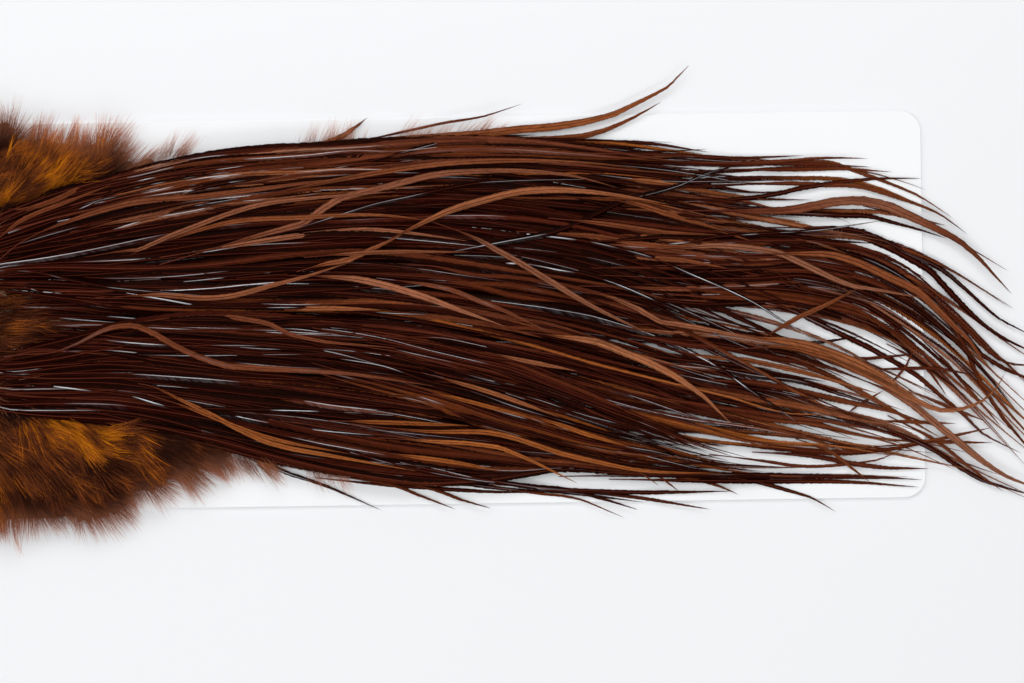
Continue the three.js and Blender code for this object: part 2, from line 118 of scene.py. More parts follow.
def closeTree(tree, parts, material):
    join = addNode(tree, "GeometryNodeJoinGeometry")
    for part in parts:
        tree.links.new(part, join.inputs[0])
    real = addNode(tree, "GeometryNodeRealizeInstances", {0: join.outputs[0]}).outputs[0]
    dressed = addNode(tree, "GeometryNodeSetMaterial", {"Geometry": real, "Material": material}).outputs[0]
    addNode(tree, "NodeGroupOutput", {"Geometry": dressed})
    return tree


def named(tree, name, kind="FLOAT"):
    values = {"Name": name}
    return addNode(tree, "GeometryNodeInputNamedAttribute", values, data_type=kind).outputs["Attribute"]


def store(geometry, name, value):
    values = {"Geometry": geometry, "Name": name, "Value": value}
    kind = "GeometryNodeStoreNamedAttribute"
    return addNode(geometry.id_data, kind, values, data_type="FLOAT", domain="POINT").outputs[0]


def position(tree):
    return addNode(tree, "GeometryNodeInputPosition").outputs[0]


def randomNumber(tree, low, high, seed):
    values = {2: low, 3: high, "Seed": seed}
    return addNode(tree, "FunctionNodeRandomValue", values, data_type="FLOAT").outputs[1]


def sheet(tree, rows):
    values = {"Size X": 1.0, "Size Y": 1.0, "Vertices X": 2, "Vertices Y": rows}
    return addNode(tree, "GeometryNodeMeshGrid", values).outputs["Mesh"]


def bake(obj, tree, values, name):
    modifier = obj.modifiers.new("Build", "NODES")
    modifier.node_group = tree
    for item in tree.interface.items_tree:
        if item.name in values:
            modifier[item.identifier] = values[item.name]
    bpy.context.view_layer.update()
    graph = bpy.context.evaluated_depsgraph_get()
    mesh = bpy.data.meshes.new_from_object(obj.evaluated_get(graph))
    obj.modifiers.remove(modifier)
    bpy.data.objects.remove(obj)
    mesh.name = name
    return addObject(name, mesh)


def readAttribute(mesh, name):
    values = np.zeros(len(mesh.vertices), np.float32)
    mesh.attributes[name].data.foreach_get("value", values)
    return values


def addBakeMap(mesh, u, v):
    corners = np.zeros(len(mesh.loops), np.int32)
    mesh.loops.foreach_get("vertex_index", corners)
    layer = mesh.uv_layers.new(name="OFBake")
    layer.data.foreach_set("uv", np.stack([u[corners], v[corners]], 1).ravel().astype(np.float32))


def finishPiece(piece, nodes=()):
    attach(piece, "root")
    if nodes:
        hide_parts(*nodes)
    print(f"{piece.name}: {sum(len(p.vertices) - 2 for p in piece.data.polygons)} triangles")


def newMaterial(name, roughness=0.5, specular=0.5):
    material = bpy.data.materials.new(name)
    material.use_nodes = True
    tree = material.node_tree
    shader = tree.nodes["Principled BSDF"]
    shader.inputs["Roughness"].default_value = roughness
    shader.inputs["Specular IOR Level"].default_value = specular
    return material, tree, shader


def link(shader, **sockets):
    for name, socket in sockets.items():
        shader.id_data.links.new(socket, shader.inputs[name.replace("_", " ")])


def ramp(factor, stops):
    node = addNode(factor.id_data, "ShaderNodeValToRGB", {"Fac": factor})
    elements = node.color_ramp.elements
    while len(elements) < len(stops):
        elements.new(0.5)
    for element, (place, colour) in zip(elements, stops):
        element.position = place
        element.color = (*colour, 1)
    return node.outputs["Color"]


def mixColours(factor, a, b, blend="MIX"):
    factorSocket, aSocket, bSocket = 0, 6, 7
    values = {factorSocket: factor}
    for key, colour in ((aSocket, a), (bSocket, b)):
        values[key] = colour if isinstance(colour, bpy.types.NodeSocket) else (*colour, 1)
    node = addNode(treeOf(factor, a, b), "ShaderNodeMix", values, data_type="RGBA", blend_type=blend)
    return node.outputs[2]


def darken(colour, share):
    return mixColours(1.0, colour, combine(share, share, share), "MULTIPLY")


def attribute(tree, name):
    return addNode(tree, "ShaderNodeAttribute", attribute_name=name).outputs["Fac"]


def noiseAt(place, scale, detail):
    values = {"Vector": place, "Scale": scale, "Detail": detail}
    return addNode(place.id_data, "ShaderNodeTexNoise", values).outputs[0]


def noiseOn(tree, scale, detail=2.0, stretch=(1, 1, 1)):
    place = addNode(tree, "ShaderNodeTexCoord").outputs["Object"]
    mapped = addNode(tree, "ShaderNodeMapping", {"Vector": place, "Scale": stretch}).outputs[0]
    return noiseAt(mapped, scale, detail)


def bumpOf(height, strength, distance):
    values = {"Height": height, "Strength": strength, "Distance": distance}
    return addNode(height.id_data, "ShaderNodeBump", values).outputs[0]


# Camera, floor and light

view = {
    "centre": (37.45, -8.83),  # mm, the spot under the camera
    "frameWidth": 286.0,  # mm across the picture
    "distance": 1.6,  # metres
    "sensor": 36,
    "roll": -0.85,  # degrees
}


def addCamera():
    data = bpy.data.cameras.new("camera")
    data.sensor_width = view["sensor"]
    data.lens = data.sensor_width * view["distance"] / (view["frameWidth"] * mm)
    camera = addObject("camera", data)
    camera.location = (view["centre"][0] * mm, view["centre"][1] * mm, view["distance"])
    camera.rotation_euler = (0, 0, math.radians(view["roll"]))
    bpy.context.scene.camera = camera


lighting = {
    "world": 0.4,
    "aim": (0.03, 0, 0),
    "lamps": [  # name, place in m, width, height, watts
        ("upperSoftbox", (0.05, 0.75, 0.75), 0.9, 0.35, 3.7),
        ("lowerSoftbox", (0.1, -0.8, 0.8), 0.8, 0.3, 2.2),
        ("leftSoftbox", (-0.95, 0.15, 0.7), 0.35, 0.7, 2.6),
        ("overheadSoftbox", (0.0, 0.1, 2.1), 1.3, 1.3, 12.1),
    ],
}


def addLights():
    world = bpy.data.worlds.new("studio")
    world.use_nodes = True
    background = world.node_tree.nodes["Background"]
    background.inputs["Color"].default_value = (1.0, 1.0, 1.0, 1)
    background.inputs["Strength"].default_value = lighting["world"]
    bpy.context.scene.world = world
    for name, place, width, height, power in lighting["lamps"]:
        data = bpy.data.lights.new(name, "AREA")
        data.shape = "RECTANGLE"
        data.size, data.size_y, data.energy = width, height, power
        lamp = addObject(name, data)
        lamp.location = place
        lamp.rotation_euler = (Vector(lighting["aim"]) - Vector(place)).to_track_quat("-Z", "Y").to_euler()
    bpy.context.scene.view_settings.view_transform = "Standard"


ground = {"size": 6, "colour": (0.86, 0.87, 0.89), "roughness": 0.7, "specular": 0.2}


def addFloor():
    bpy.ops.mesh.primitive_plane_add(size=ground["size"])
    floor = bpy.context.object
    floor.name = "floor"
    material, _, shader = newMaterial("paleFloor", ground["roughness"], ground["specular"])
    shader.inputs["Base Color"].default_value = (*ground["colour"], 1)
    floor.data.materials.append(material)


# Backing card

card = {
    "length": 304.8, "width": 108.0, "corner": 6.0, "cornerSteps": 14, "edge": 0.14,
    "tints": ((0.875, 0.885, 0.9), (0.89, 0.9, 0.915)),
    "roughness": (0.42, 0.12),  # least, and how much it varies
    "noise": {"tint": 9.0, "roughness": 60.0, "grain": 900.0},
}
cardEnd = card["length"] / 2 * mm


def pieceOf(mesh, name, material, nodes):
    data = bpy.data.meshes.new(name)
    mesh.to_mesh(data)
    mesh.free()
    data.materials.append(material)
    finishPiece(addObject(name, data), nodes)


def buildCard():
    mesh = bmesh.new()
    corner, steps = card["corner"], card["cornerSteps"]
    halfLength, halfWidth = card["length"] / 2 - corner, card["width"] / 2 - corner
    outline = []
    for quarter, (x, y) in enumerate(((1, 1), (-1, 1), (-1, -1), (1, -1))):
        for step in range(steps + 1):
            angle = math.pi / 2 * (quarter + step / steps)
            outline.append((
                (x * halfLength + corner * math.cos(angle)) * mm,
                (y * halfWidth + corner * math.sin(angle)) * mm,
            ))
    face = mesh.faces.new([mesh.verts.new((x, y, 0)) for x, y in outline])
    top = bmesh.ops.extrude_face_region(mesh, geom=[face])["geom"]
    for vert in (item for item in top if isinstance(item, bmesh.types.BMVert)):
        vert.co.z = cardTop
    bmesh.ops.recalc_face_normals(mesh, faces=mesh.faces)
    rims = [e for e in mesh.edges if abs(e.verts[0].co.z - e.verts[1].co.z) < 1e-7]
    bmesh.ops.bevel(mesh, geom=rims, offset=card["edge"] * mm, segments=2, affect="EDGES", profile=0.5)
    material, tree, shader = newMaterial("whiteSheet")
    scales, (least, varied) = card["noise"], card["roughness"]
    link(shader, Base_Color=mixColours(noiseOn(tree, scales["tint"]), *card["tints"]),
         Roughness=linear(noiseOn(tree, scales["roughness"]), varied, least),
         Normal=bumpOf(noiseOn(tree, scales["grain"]), 0.04, 0.0002))
    pieceOf(mesh, "white_backing_card", material, ["backing_card"])


# The saddle's surface, read from the model's own solids

def nodesNamed(start):
    return sorted(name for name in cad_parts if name.startswith(start))


lockNames, singleNames = nodesNamed("hackles_"), nodesNamed("hackle_")
plumeNames, frontNames = nodesNamed("side_plume_"), nodesNamed("front_feather_")
rayStart = 0.05  # metres, above everything
tableRest = 0.0006  # metres, how high hackles lie past the card's end


def surfaceOf(names):
    points, faces = [], []
    for name in names:
        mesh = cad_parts[name].data
        start = len(points)
        points += [v.co.copy() for v in mesh.vertices]
        faces += [[start + i for i in p.vertices] for p in mesh.polygons]
    return BVHTree.FromPolygons(points, faces)


lockSurface = surfaceOf(lockNames)
wholeSurface = surfaceOf(lockNames + plumeNames + frontNames + ["skin"])


def topOf(surface, x, y):
    hit = surface.ray_cast(Vector((x, y, rayStart)), Vector((0, 0, -1)))[0]
    return hit.z if hit else None


def heightAt(x, y):
    return max(topOf(wholeSurface, x, y) or 0.0, cardTop if x < cardEnd else tableRest)


def lockRings(name):
    points = np.array([v.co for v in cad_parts[name].data.vertices])
    rings = []
    for x in np.unique(np.round(points[:, 0], 5)):
        ring = points[np.abs(points[:, 0] - x) < 2e-5]
        rings.append((x, ring[:, 1].min(), ring[:, 1].max(), ring[:, 2].min(), ring[:, 2].max()))
    return np.array(rings)


# Feathers: polylines that the geometry nodes turn into a quill and its barbs

def smoothPath(points, spacing):
    points = np.asarray(points, float)
    ends = np.vstack([2 * points[0] - points[1], points, 2 * points[-1] - points[-2]])
    out = []
    for i in range(1, len(ends) - 2):
        p0, p1, p2, p3 = ends[i - 1:i + 3]
        steps = max(int(np.linalg.norm(p2 - p1) / spacing), 1)
        for t in np.arange(steps) / steps:
            out.append(0.5 * (2 * p1 + (p2 - p0) * t + (2 * p0 - 5 * p1 + 4 * p2 - p3) * t * t
                              + (3 * p1 - p0 - 3 * p2 + p3) * t ** 3))
    out.append(points[-1])
    return np.array(out)


def distances(points):
    return np.concatenate([[0], np.cumsum(np.linalg.norm(np.diff(points, axis=0), axis=1))])


def blur(values, passes):
    for _ in range(passes):
        padded = np.concatenate([values[:1], values, values[-1:]])
        values = 0.25 * padded[:-2] + 0.5 * padded[1:-1] + 0.25 * padded[2:]
    return values


def smoothstep(low, high, x):
    t = np.clip((x - low) / (high - low), 0, 1)
    return t * t * (3 - 2 * t)


vane = {
    "taperPower": 0.75,
    "waves": (60, 120),  # mm, of its twist
    "roll": (-0.25, 0.25),  # radians, at random
    "steepest": 0.75,  # radians
    "narrowest": 0.04,  # at the tip, as a share
    "quillThinning": 0.8,
}


def feather(points, width, tone, rng, taper=0.3, root=0.12, base=0.3, sheen=0.0, roll=0.0, twist=0.3,
            quill=0.19, gold=0.0):
    s = distances(points)
    t = s / s[-1]
    tapered = np.clip((1 - t) / taper, 0, 1) ** vane["taperPower"]
    shape = (base + (1 - base) * smoothstep(0, root, t)) * tapered
    wave = rng.uniform(*vane["waves"]) * mm
    rolls = roll + twist * np.sin(2 * math.pi * s / wave + rng.uniform(*phases)) + rng.uniform(*vane["roll"])
    return {
        "points": points,
        "halfWidth": width / 2 * mm * np.maximum(shape, vane["narrowest"]),
        "quillRadius": quill * mm * (1 - vane["quillThinning"] * t),
        "roll": vane["steepest"] * np.tanh(rolls / vane["steepest"]),
        "tone": np.broadcast_to(tone, t.shape),
        "sheen": np.broadcast_to(sheen, t.shape),
        "along": t,
        "gold": np.full(len(points), gold),
    }


featherColumns = ("halfWidth", "quillRadius", "roll", "tone", "sheen", "along", "gold", "featherIndex")


def polylineObject(feathers):
    starts = np.cumsum([0] + [len(f["points"]) for f in feathers])
    mesh = bpy.data.meshes.new("paths")
    edges = [(i, i + 1) for a, b in zip(starts[:-1], starts[1:]) for i in range(a, b - 1)]
    mesh.from_pydata(np.vstack([f["points"] for f in feathers]).tolist(), edges, [])
    for index, f in enumerate(feathers):
        f["featherIndex"] = np.full(len(f["points"]), index)
    for name in featherColumns:
        data = mesh.attributes.new(name, "FLOAT", "POINT").data
        data.foreach_set("value", np.concatenate([f[name] for f in feathers]).astype(np.float32))
    return addObject("paths", mesh)


featherInputs = [
    ("Barb Spacing", "NodeSocketFloat", 0.0008),
    ("Barb Width", "NodeSocketFloat", 1.25),  # in half widths of the vane
    ("Slant", "NodeSocketFloat", 1.7),
    ("Droop", "NodeSocketFloat", 0.5),
    ("Shortest Reach", "NodeSocketFloat", 0.0009),
    ("Raggedness", "NodeSocketFloat", 0.12),
    ("Material", "NodeSocketMaterial", None),
    ("Seed", "NodeSocketInt", 1),
]


def barb(tree, given, side):
    place = separate(position(tree))
    reach = calculate("ADD", place[1], 0.5)
    across = times(reach, side)
    geometry = store(store(sheet(tree, 2), "across", across), "ahead", place[0])
    spread = times(place[0], given["Barb Width"], linear(reach, -0.4, 1.0))
    forward = linear(reach, given["Slant"], spread)
    place = combine(forward, across, times(reach, given["Droop"], -1.0))
    return addNode(tree, "GeometryNodeSetPosition", {"Geometry": geometry, "Position": place}).outputs[0]


def buildFeatherTree():
    tree, given = newTree("Feathers", featherInputs)
    lines = {"Curve": addNode(tree, "GeometryNodeMeshToCurve", {"Mesh": given["Geometry"]}).outputs[0]}
    curve = addNode(tree, "GeometryNodeCurveSplineType", lines, spline_type="CATMULL_ROM").outputs[0]
    curve = addNode(tree, "GeometryNodeSetSplineResolution", {"Geometry": curve, "Resolution": 2}).outputs[0]
    spaced = {"Curve": curve, "Length": given["Barb Spacing"]}
    stations = addNode(tree, "GeometryNodeResampleCurve", spaced, mode="LENGTH").outputs[0]
    tangent = addNode(tree, "GeometryNodeInputTangent").outputs[0]
    level = vectorMath("NORMALIZE", vectorMath("CROSS_PRODUCT", (0, 0, 1), tangent))
    rolling = {"Vector": level, "Axis": tangent, "Angle": named(tree, "roll")}
    rolled = addNode(tree, "ShaderNodeVectorRotate", rolling, rotation_type="AXIS_ANGLE").outputs[0]
    turn = addNode(tree, "FunctionNodeAxesToRotation", {0: tangent, 1: rolled},
                   primary_axis="X", secondary_axis="Y").outputs[0]
    halfWidth = named(tree, "halfWidth")
    forward = calculate("MAXIMUM", halfWidth, given["Shortest Reach"])
    parts = []
    for side, seedStep in ((1.0, 0.0), (-1.0, 7.0)):
        seed = calculate("ADD", given["Seed"], seedStep)
        length = linear(randomNumber(tree, -1.0, 1.0, seed), given["Raggedness"], 1.0)
        shade = randomNumber(tree, 0.0, 1.0, calculate("ADD", seed, 3.0))
        parts.append(addNode(tree, "GeometryNodeInstanceOnPoints", {
            "Points": store(stations, "shade", shade), "Instance": barb(tree, given, side), "Rotation": turn,
            "Scale": combine(times(forward, length), times(halfWidth, length), halfWidth),
        }).outputs[0])
    profile = addNode(tree, "GeometryNodeCurvePrimitiveCircle", {"Resolution": 3, "Radius": 1.0}).outputs[0]
    profile = store(profile, "across", times(separate(position(tree))[0], 0.05))
    radius = named(tree, "quillRadius")
    thick = addNode(tree, "GeometryNodeSetCurveRadius", {"Curve": curve, "Radius": radius}).outputs[0]
    swept = {"Curve": thick, "Profile Curve": profile, "Scale": radius}
    quill = store(addNode(tree, "GeometryNodeCurveToMesh", swept).outputs[0], "isQuill", 1.0)
    return closeTree(tree, (quill, *parts), given["Material"])


def featherPiece(name, feathers, tree, material, slotName, nodes, **settings):
    piece = bake(polylineObject(feathers), tree, {"Material": material, **settings}, name)
    mesh = piece.data
    along, ahead = readAttribute(mesh, "along"), readAttribute(mesh, "ahead")
    row, across = readAttribute(mesh, "featherIndex"), readAttribute(mesh, "across")
    strip = (np.round(row) + 0.5 + 0.44 * across) / len(feathers)
    addBakeMap(mesh, np.clip(along + ahead * 0.004, 0.001, 0.999), strip)
    finishPiece(piece, nodes)


hackleLook = {
    "barbs": [  # from dark to light hackles
        (0.0, (0.0068, 0.0008, 0.0006)),
        (0.25, (0.0225, 0.0024, 0.0012)),
        (0.5, (0.069, 0.0112, 0.0052)),
        (0.75, (0.171, 0.048, 0.022)),
        (1.0, (0.298, 0.124, 0.072)),
    ],
    "quills": [
        (0.0, (0.06, 0.0095, 0.0045)),
        (0.4, (0.13, 0.03, 0.016)),
        (0.75, (0.075, 0.018, 0.009)),
        (1.0, (0.11, 0.033, 0.016)),
    ],
    "golden": (0.42, 0.115, 0.014),
    "blushed": (0.26, 0.098, 0.072),
    "blush": 0.5,
    "barred": (0.012, 0.003, 0.002),
    "barredShare": 0.3,  # of the hackles
    # painted highlight colours of the glints, on the vane and on the quill
    "paintedGleam": (0.42, 0.43, 0.46),
    "paintedQuillGleam": (0.92, 0.95, 1.0),
    "specular": 0.03,
    "specularTint": (1.0, 0.62, 0.42, 1),
}


def hackleMaterial():
    look = hackleLook
    material, tree, shader = newMaterial("hackle", specular=look["specular"])
    names = ("tone", "along", "across", "shade", "sheen", "featherIndex")
    tone, along, across, shade, sheen, row = (attribute(tree, name) for name in names)
    patches = noiseOn(tree, 140.0, 3.0, (0.35, 1, 1))
    barbs = ramp(calculate("ADD", tone, linear(patches, 0.16, -0.08), clamp=True), look["barbs"])
    pick = addNode(tree, "ShaderNodeTexWhiteNoise", {"W": row}, noise_dimensions="1D").outputs[0]
    golden = times(attribute(tree, "gold"), linear(tone, 1.6, -0.5, True))
    barbs = mixColours(golden, barbs, look["golden"])
    blush = times(linear(tone, 3.0, -2.1, True), linear(pick, 2.0, -1.0, True), look["blush"])
    barbs = mixColours(blush, barbs, look["blushed"])
    # dark bars near the tips
    wave = calculate("SINE", linear(along, 170.0, times(pick, 50.0)))
    bars = times(linear(wave, 9.0, -8.0, True), calculate("LESS_THAN", pick, look["barredShare"]),
                 linear(along, 4.0, -2.6, True), 0.7)
    barbs = mixColours(bars, barbs, look["barred"])
    # streaks along the vane, and painted shade that darkens its sides
    lines = noiseAt(combine(times(across, 3.2), times(along, 5.0), times(row, 5.1)), 1.0, 2.0)
    streaks = times(linear(shade, 0.35, 0.9), linear(lines, 2.6, -0.3, True))
    sideShade = linear(calculate("POWER", calculate("ABSOLUTE", across), 2.4), -0.6, 1.05)
    barbs = darken(barbs, times(streaks, sideShade))
    # painted highlight: glint colour painted along the quill and on the vane's one side, broken along its
    # length
    broken = linear(noiseAt(combine(times(along, 5.0), times(row, 3.7), 0.0), 1.0, 1.0), 8.0, -4.0, True)
    glint = times(sheen, broken)
    gleamHatch = times(shade, 0.16, linear(across, -3.0, 1.3, True))
    barbs = mixColours(times(glint, gleamHatch), barbs, look["paintedGleam"])
    quills = mixColours(glint, ramp(tone, look["quills"]), look["paintedQuillGleam"])
    colour = mixColours(attribute(tree, "isQuill"), barbs, quills)
    link(shader, Base_Color=colour, Roughness=linear(tone, 0.2, 0.4))
    shader.inputs["Specular Tint"].default_value = look["specularTint"]
    return material


# The locks of hackles

hackle = {
    "feathers": {"layer1": 9, "layer2": 11, "layer3": 17},  # in each lock
    "spacing": {"layer1": 0.0009, "layer2": 0.00085, "layer3": 0.00078},  # metres between the barbs
    "width": (1.4, 2.8),
    "pathStep": 8.0,
    "root": (0.002, 0.018),  # metres past the lock's root
    "tip": (0, 0.006),  # metres short of the lock's tip, for each third hackle
    "shortening": 0.16,  # spread of the others, as a share of the lock
    "shortest": 0.1,  # metres
    "wander": 0.9,
    "waves": (70, 150),
    "straying": (0, 0, 0, 0, 0, 1),  # one in six strays
    "strayReach": 6,
    "fan": {"spread": 3.0, "from": 0.1, "over": 0.06, "most": 2, "power": 1.6},  # in mm, from x in metres
    "softness": 0.003,  # metres
    "lift": (0.3, 1.0),  # how high in the lock
    "crown": 0.45,  # how much lower its sides are
    "rise": 0.25,  # above the lock
    "clearance": 0.45,  # above the card
    "tipZone": (0.08, 0.13),  # metres along x
    "flatten": 0.6,  # how much lower the hackles lie there
    "dulled": 0.75,  # how much less painted sheen they have there
    "taper": (0.25, 0.48),
    "roll": 0.35,
    "twist": (0.15, 0.6),
    "parted": (1.0, 1.0, 0.9, 0.6, 0.15),  # how far the partings push each
    "tones": [(0.62, 0.02, 0.2), (0.27, 0.2, 0.42), (0.11, 0.42, 0.7)],  # share, from, to
    "rootShade": {"share": 0.5, "along": (-0.1, 0.02)},
    "warming": 0.4,  # towards the tips: partly painted light shining through the thin tips, partly the lower side's own warmer colour
    "warmed": (0.08, 0.15),  # metres along x, where the tips take painted light shining through them
    "warmedLower": {"share": 0.9, "along": (0.04, 0.1), "across": (-0.02, 0.0)},
    # painted sheen: glint colour painted on the quill and vane of some hackles
    "sheened": 0.3,  # share with a painted sheen
    "sheen": (0.25, 0.95),
    "golden": (1.3, 4),  # power of a random share: at the lower side, and elsewhere
    "thinned": [  # (at x, side of the middle, beyond y), share, and where those feathers end
        ((95, -1, 37), 0.88, 50, 100), ((110, 1, 30), 0.88, 80, 114), ((130, -1, 22), 0.52, 90, 136),
        ((130, 1, 17), 0.35, 95, 132), ((85, -1, 2), 0.15, 70, 110), ((150, -1, 12), 0.3, 110, 150),
    ],
    "lowest": [  # no hackle lies lower than this, along x
        (-60, -60), (-20, -54), (6, -50.5), (28, -48.5), (42, -46), (51, -44.5), (62, -45.5), (78, -47),
        (98, -48.6), (125, -49), (150, -51), (190, -60),
    ],
}

partings = [  # white gaps between the hackles: x, y, half length, half width, slope
    (64, -12, 6, 0.7, -0.2), (99, -0.5, 6, 0.8, -0.15), (118, -8, 12, 1.4, -0.2), (103, -12.5, 9, 0.7, -0.25),
    (107, -27, 8, 1.3, -0.5), (88, -36, 8, 1.1, -0.25), (108, -36.5, 13, 1.4, -0.15), (92, -41, 8, 0.9, -0.1),
    (116, -43.2, 24, 1.8, -0.02), (106, 33, 11, 1.2, -0.05), (121, 22.6, 10, 1.6, -0.05),
    (148, -5, 7, 1.0, -0.9), (136, -19, 10, 2.0, -0.45), (160, -18, 11, 2.6, -0.8),
    (153, -29, 11, 1.8, -0.3), (137, -35, 12, 1.6, -0.1), (140, -45, 10, 1.2, 0.0),
    (130, 30.5, 16, 2.0, -0.05), (148, 22, 9, 1.6, -0.5), (166, -34, 8, 2.0, -0.8), (118, 37, 10, 0.9, 0.0),
]


def partAround(points, strength):
    x, y = points[:, 0] / mm, points[:, 1] / mm
    push = np.zeros(len(x))
    for gapX, gapY, halfLength, halfWidth, slope in partings:
        line = gapY + slope * (x - gapX)
        near = np.argmin(np.abs(x - gapX))
        side = 1.0 if y[near] >= line[near] else -1.0
        away = (y - line) * side
        length = halfLength * 1.3
        opening = halfWidth * np.clip(1 - ((x - gapX) / length) ** 2, 0, 1)
        reach = 3.4 * halfWidth
        moved = np.clip(reach - np.maximum(away, 0), 0, reach) / reach * opening
        moved -= np.minimum(away, 0) * (away > -reach)
        push += side * moved * (np.abs(x - gapX) < length)
    points[:, 1] = (y + blur(push, 1) * strength) * mm
    return points


# Painted light: the thin tips at the sides of the right end are lightened where light shines through them.
paintedTipLight = {"most": 0.2, "along": (0.095, 0.14), "across": (0.016, 0.028)}  # metres


def paintedTipGlow(x, y):
    return paintedTipLight["most"] * smoothstep(*paintedTipLight["along"], x) * smoothstep(*paintedTipLight["across"], np.abs(y))


def lockTone(x, y, rng):
    pick, tone = rng.random(), 0.1
    for share, low, high in hackle["tones"]:
        if pick < share:
            tone = rng.uniform(low, high)
            break
        pick -= share
    side, root = hackle["warmedLower"], hackle["rootShade"]
    lower = side["share"] * (1 - smoothstep(*side["across"], y))
    # warmer towards the tips with painted light shining through them, and warmer on the lower side in its own
    # colour
    nearTip = smoothstep(*hackle["warmed"], x) + lower * smoothstep(*side["along"], x)
    warm = rng.uniform(0.2, 1.0) * hackle["warming"] * nearTip
    shaded = tone * (1 - root["share"] + root["share"] * smoothstep(*root["along"], x))
    return np.clip(shaded + warm + paintedTipGlow(x, y), 0, 1)


def lockFeathers(name, rng):
    rings = lockRings(name)
    count = hackle["feathers"][name.split("_")[2]]
    rootX, tipX = rings[0, 0], rings[-1, 0]
    fan = hackle["fan"]
    feathers = []
    for number in range(count):
        slot = (number + rng.uniform(0.1, 0.9)) / count * 2 - 1
        end = slot + rng.uniform(-0.5, 0.5)
        start = rootX + rng.uniform(*hackle["root"])
        if number % 3:
            stop = tipX - (tipX - rootX) * abs(rng.gauss(0, hackle["shortening"]))
        else:
            stop = tipX - rng.uniform(*hackle["tip"])
        for (lineX, side, beyond), share, low, high in hackle["thinned"]:
            centre = np.interp(lineX * mm, rings[:, 0], (rings[:, 1] + rings[:, 2]) / 2) / mm
            if centre * side > beyond and tipX > lineX * mm and rng.random() < share:
                stop = min(stop, rng.uniform(low, high) * mm)
        stop = max(stop, start + hackle["shortest"])
        x = np.append(np.arange(start, stop, hackle["pathStep"] * mm), stop)
        t = (x - start) / (stop - start)
        low, high, under, over = (np.interp(x, rings[:, 0], rings[:, column]) for column in (1, 2, 3, 4))
        place = slot + (end - slot) * t
        wave = rng.uniform(*hackle["waves"]) * mm
        drift = hackle["wander"] * mm * np.sin(2 * math.pi * x / wave + rng.uniform(*phases))
        reach = hackle["strayReach"]
        stray = rng.choice(hackle["straying"]) * rng.uniform(-reach, reach) * mm * t ** 2
        spread = np.clip((x - fan["from"]) / fan["over"], 0, fan["most"]) ** fan["power"]
        fanned = rng.gauss(0, fan["spread"]) * mm * spread
        y = (low + high) / 2 + place * (high - low) / 2 + drift + stray + fanned
        soft = hackle["softness"]
        lowest = np.interp(x / mm, *zip(*hackle["lowest"])) * mm + soft
        y = np.where(y < lowest, lowest - soft + soft * np.exp(np.minimum(y - lowest, 0) / soft), y)
        crowned = rng.uniform(*hackle["lift"]) * (1 - hackle["crown"] * np.clip(np.abs(place), 0, 1) ** 2)
        z = under + (over - under) * crowned + hackle["rise"] * mm
        atTip = smoothstep(*hackle["tipZone"], x)
        z = z - (z - under) * hackle["flatten"] * atTip
        z = np.maximum(z, (cardTop if tipX < cardEnd else 0.0) + hackle["clearance"] * mm)
        points = partAround(np.stack([x, y, z], 1), rng.choice(hackle["parted"]))
        tones = lockTone(x, y, rng)
        width = rng.uniform(*hackle["width"])
        # painted sheen on some hackles, less of it near the tips
        sheen = rng.uniform(*hackle["sheen"]) if rng.random() < hackle["sheened"] else 0.0
        sheen = sheen * (1 - hackle["dulled"] * atTip)
        atLowerSide = stop > 0.05 and y.mean() < -0.024
        gold = rng.random() ** hackle["golden"][0 if atLowerSide else 1]
        feathers.append(feather(points, width, tones, rng, taper=rng.uniform(*hackle["taper"]), sheen=sheen,
                                roll=rng.gauss(0, hackle["roll"]), twist=rng.uniform(*hackle["twist"]),
                                gold=gold))
    return feathers


def buildLocks(tree, material):
    for side in ("upper", "lower"):
        for layer in ("layer1", "layer2", "layer3"):
            names = [n for n in lockNames if f"_{side}_{layer}_" in n]
            rng = random.Random(f"{side}{layer}")
            feathers = [f for n in names for f in lockFeathers(n, rng)]
            featherPiece(f"{side}_hackles_{layer}", feathers, tree, material, "mahogany_hackle", names,
                         **{"Barb Spacing": hackle["spacing"][layer], "Seed": len(feathers)})
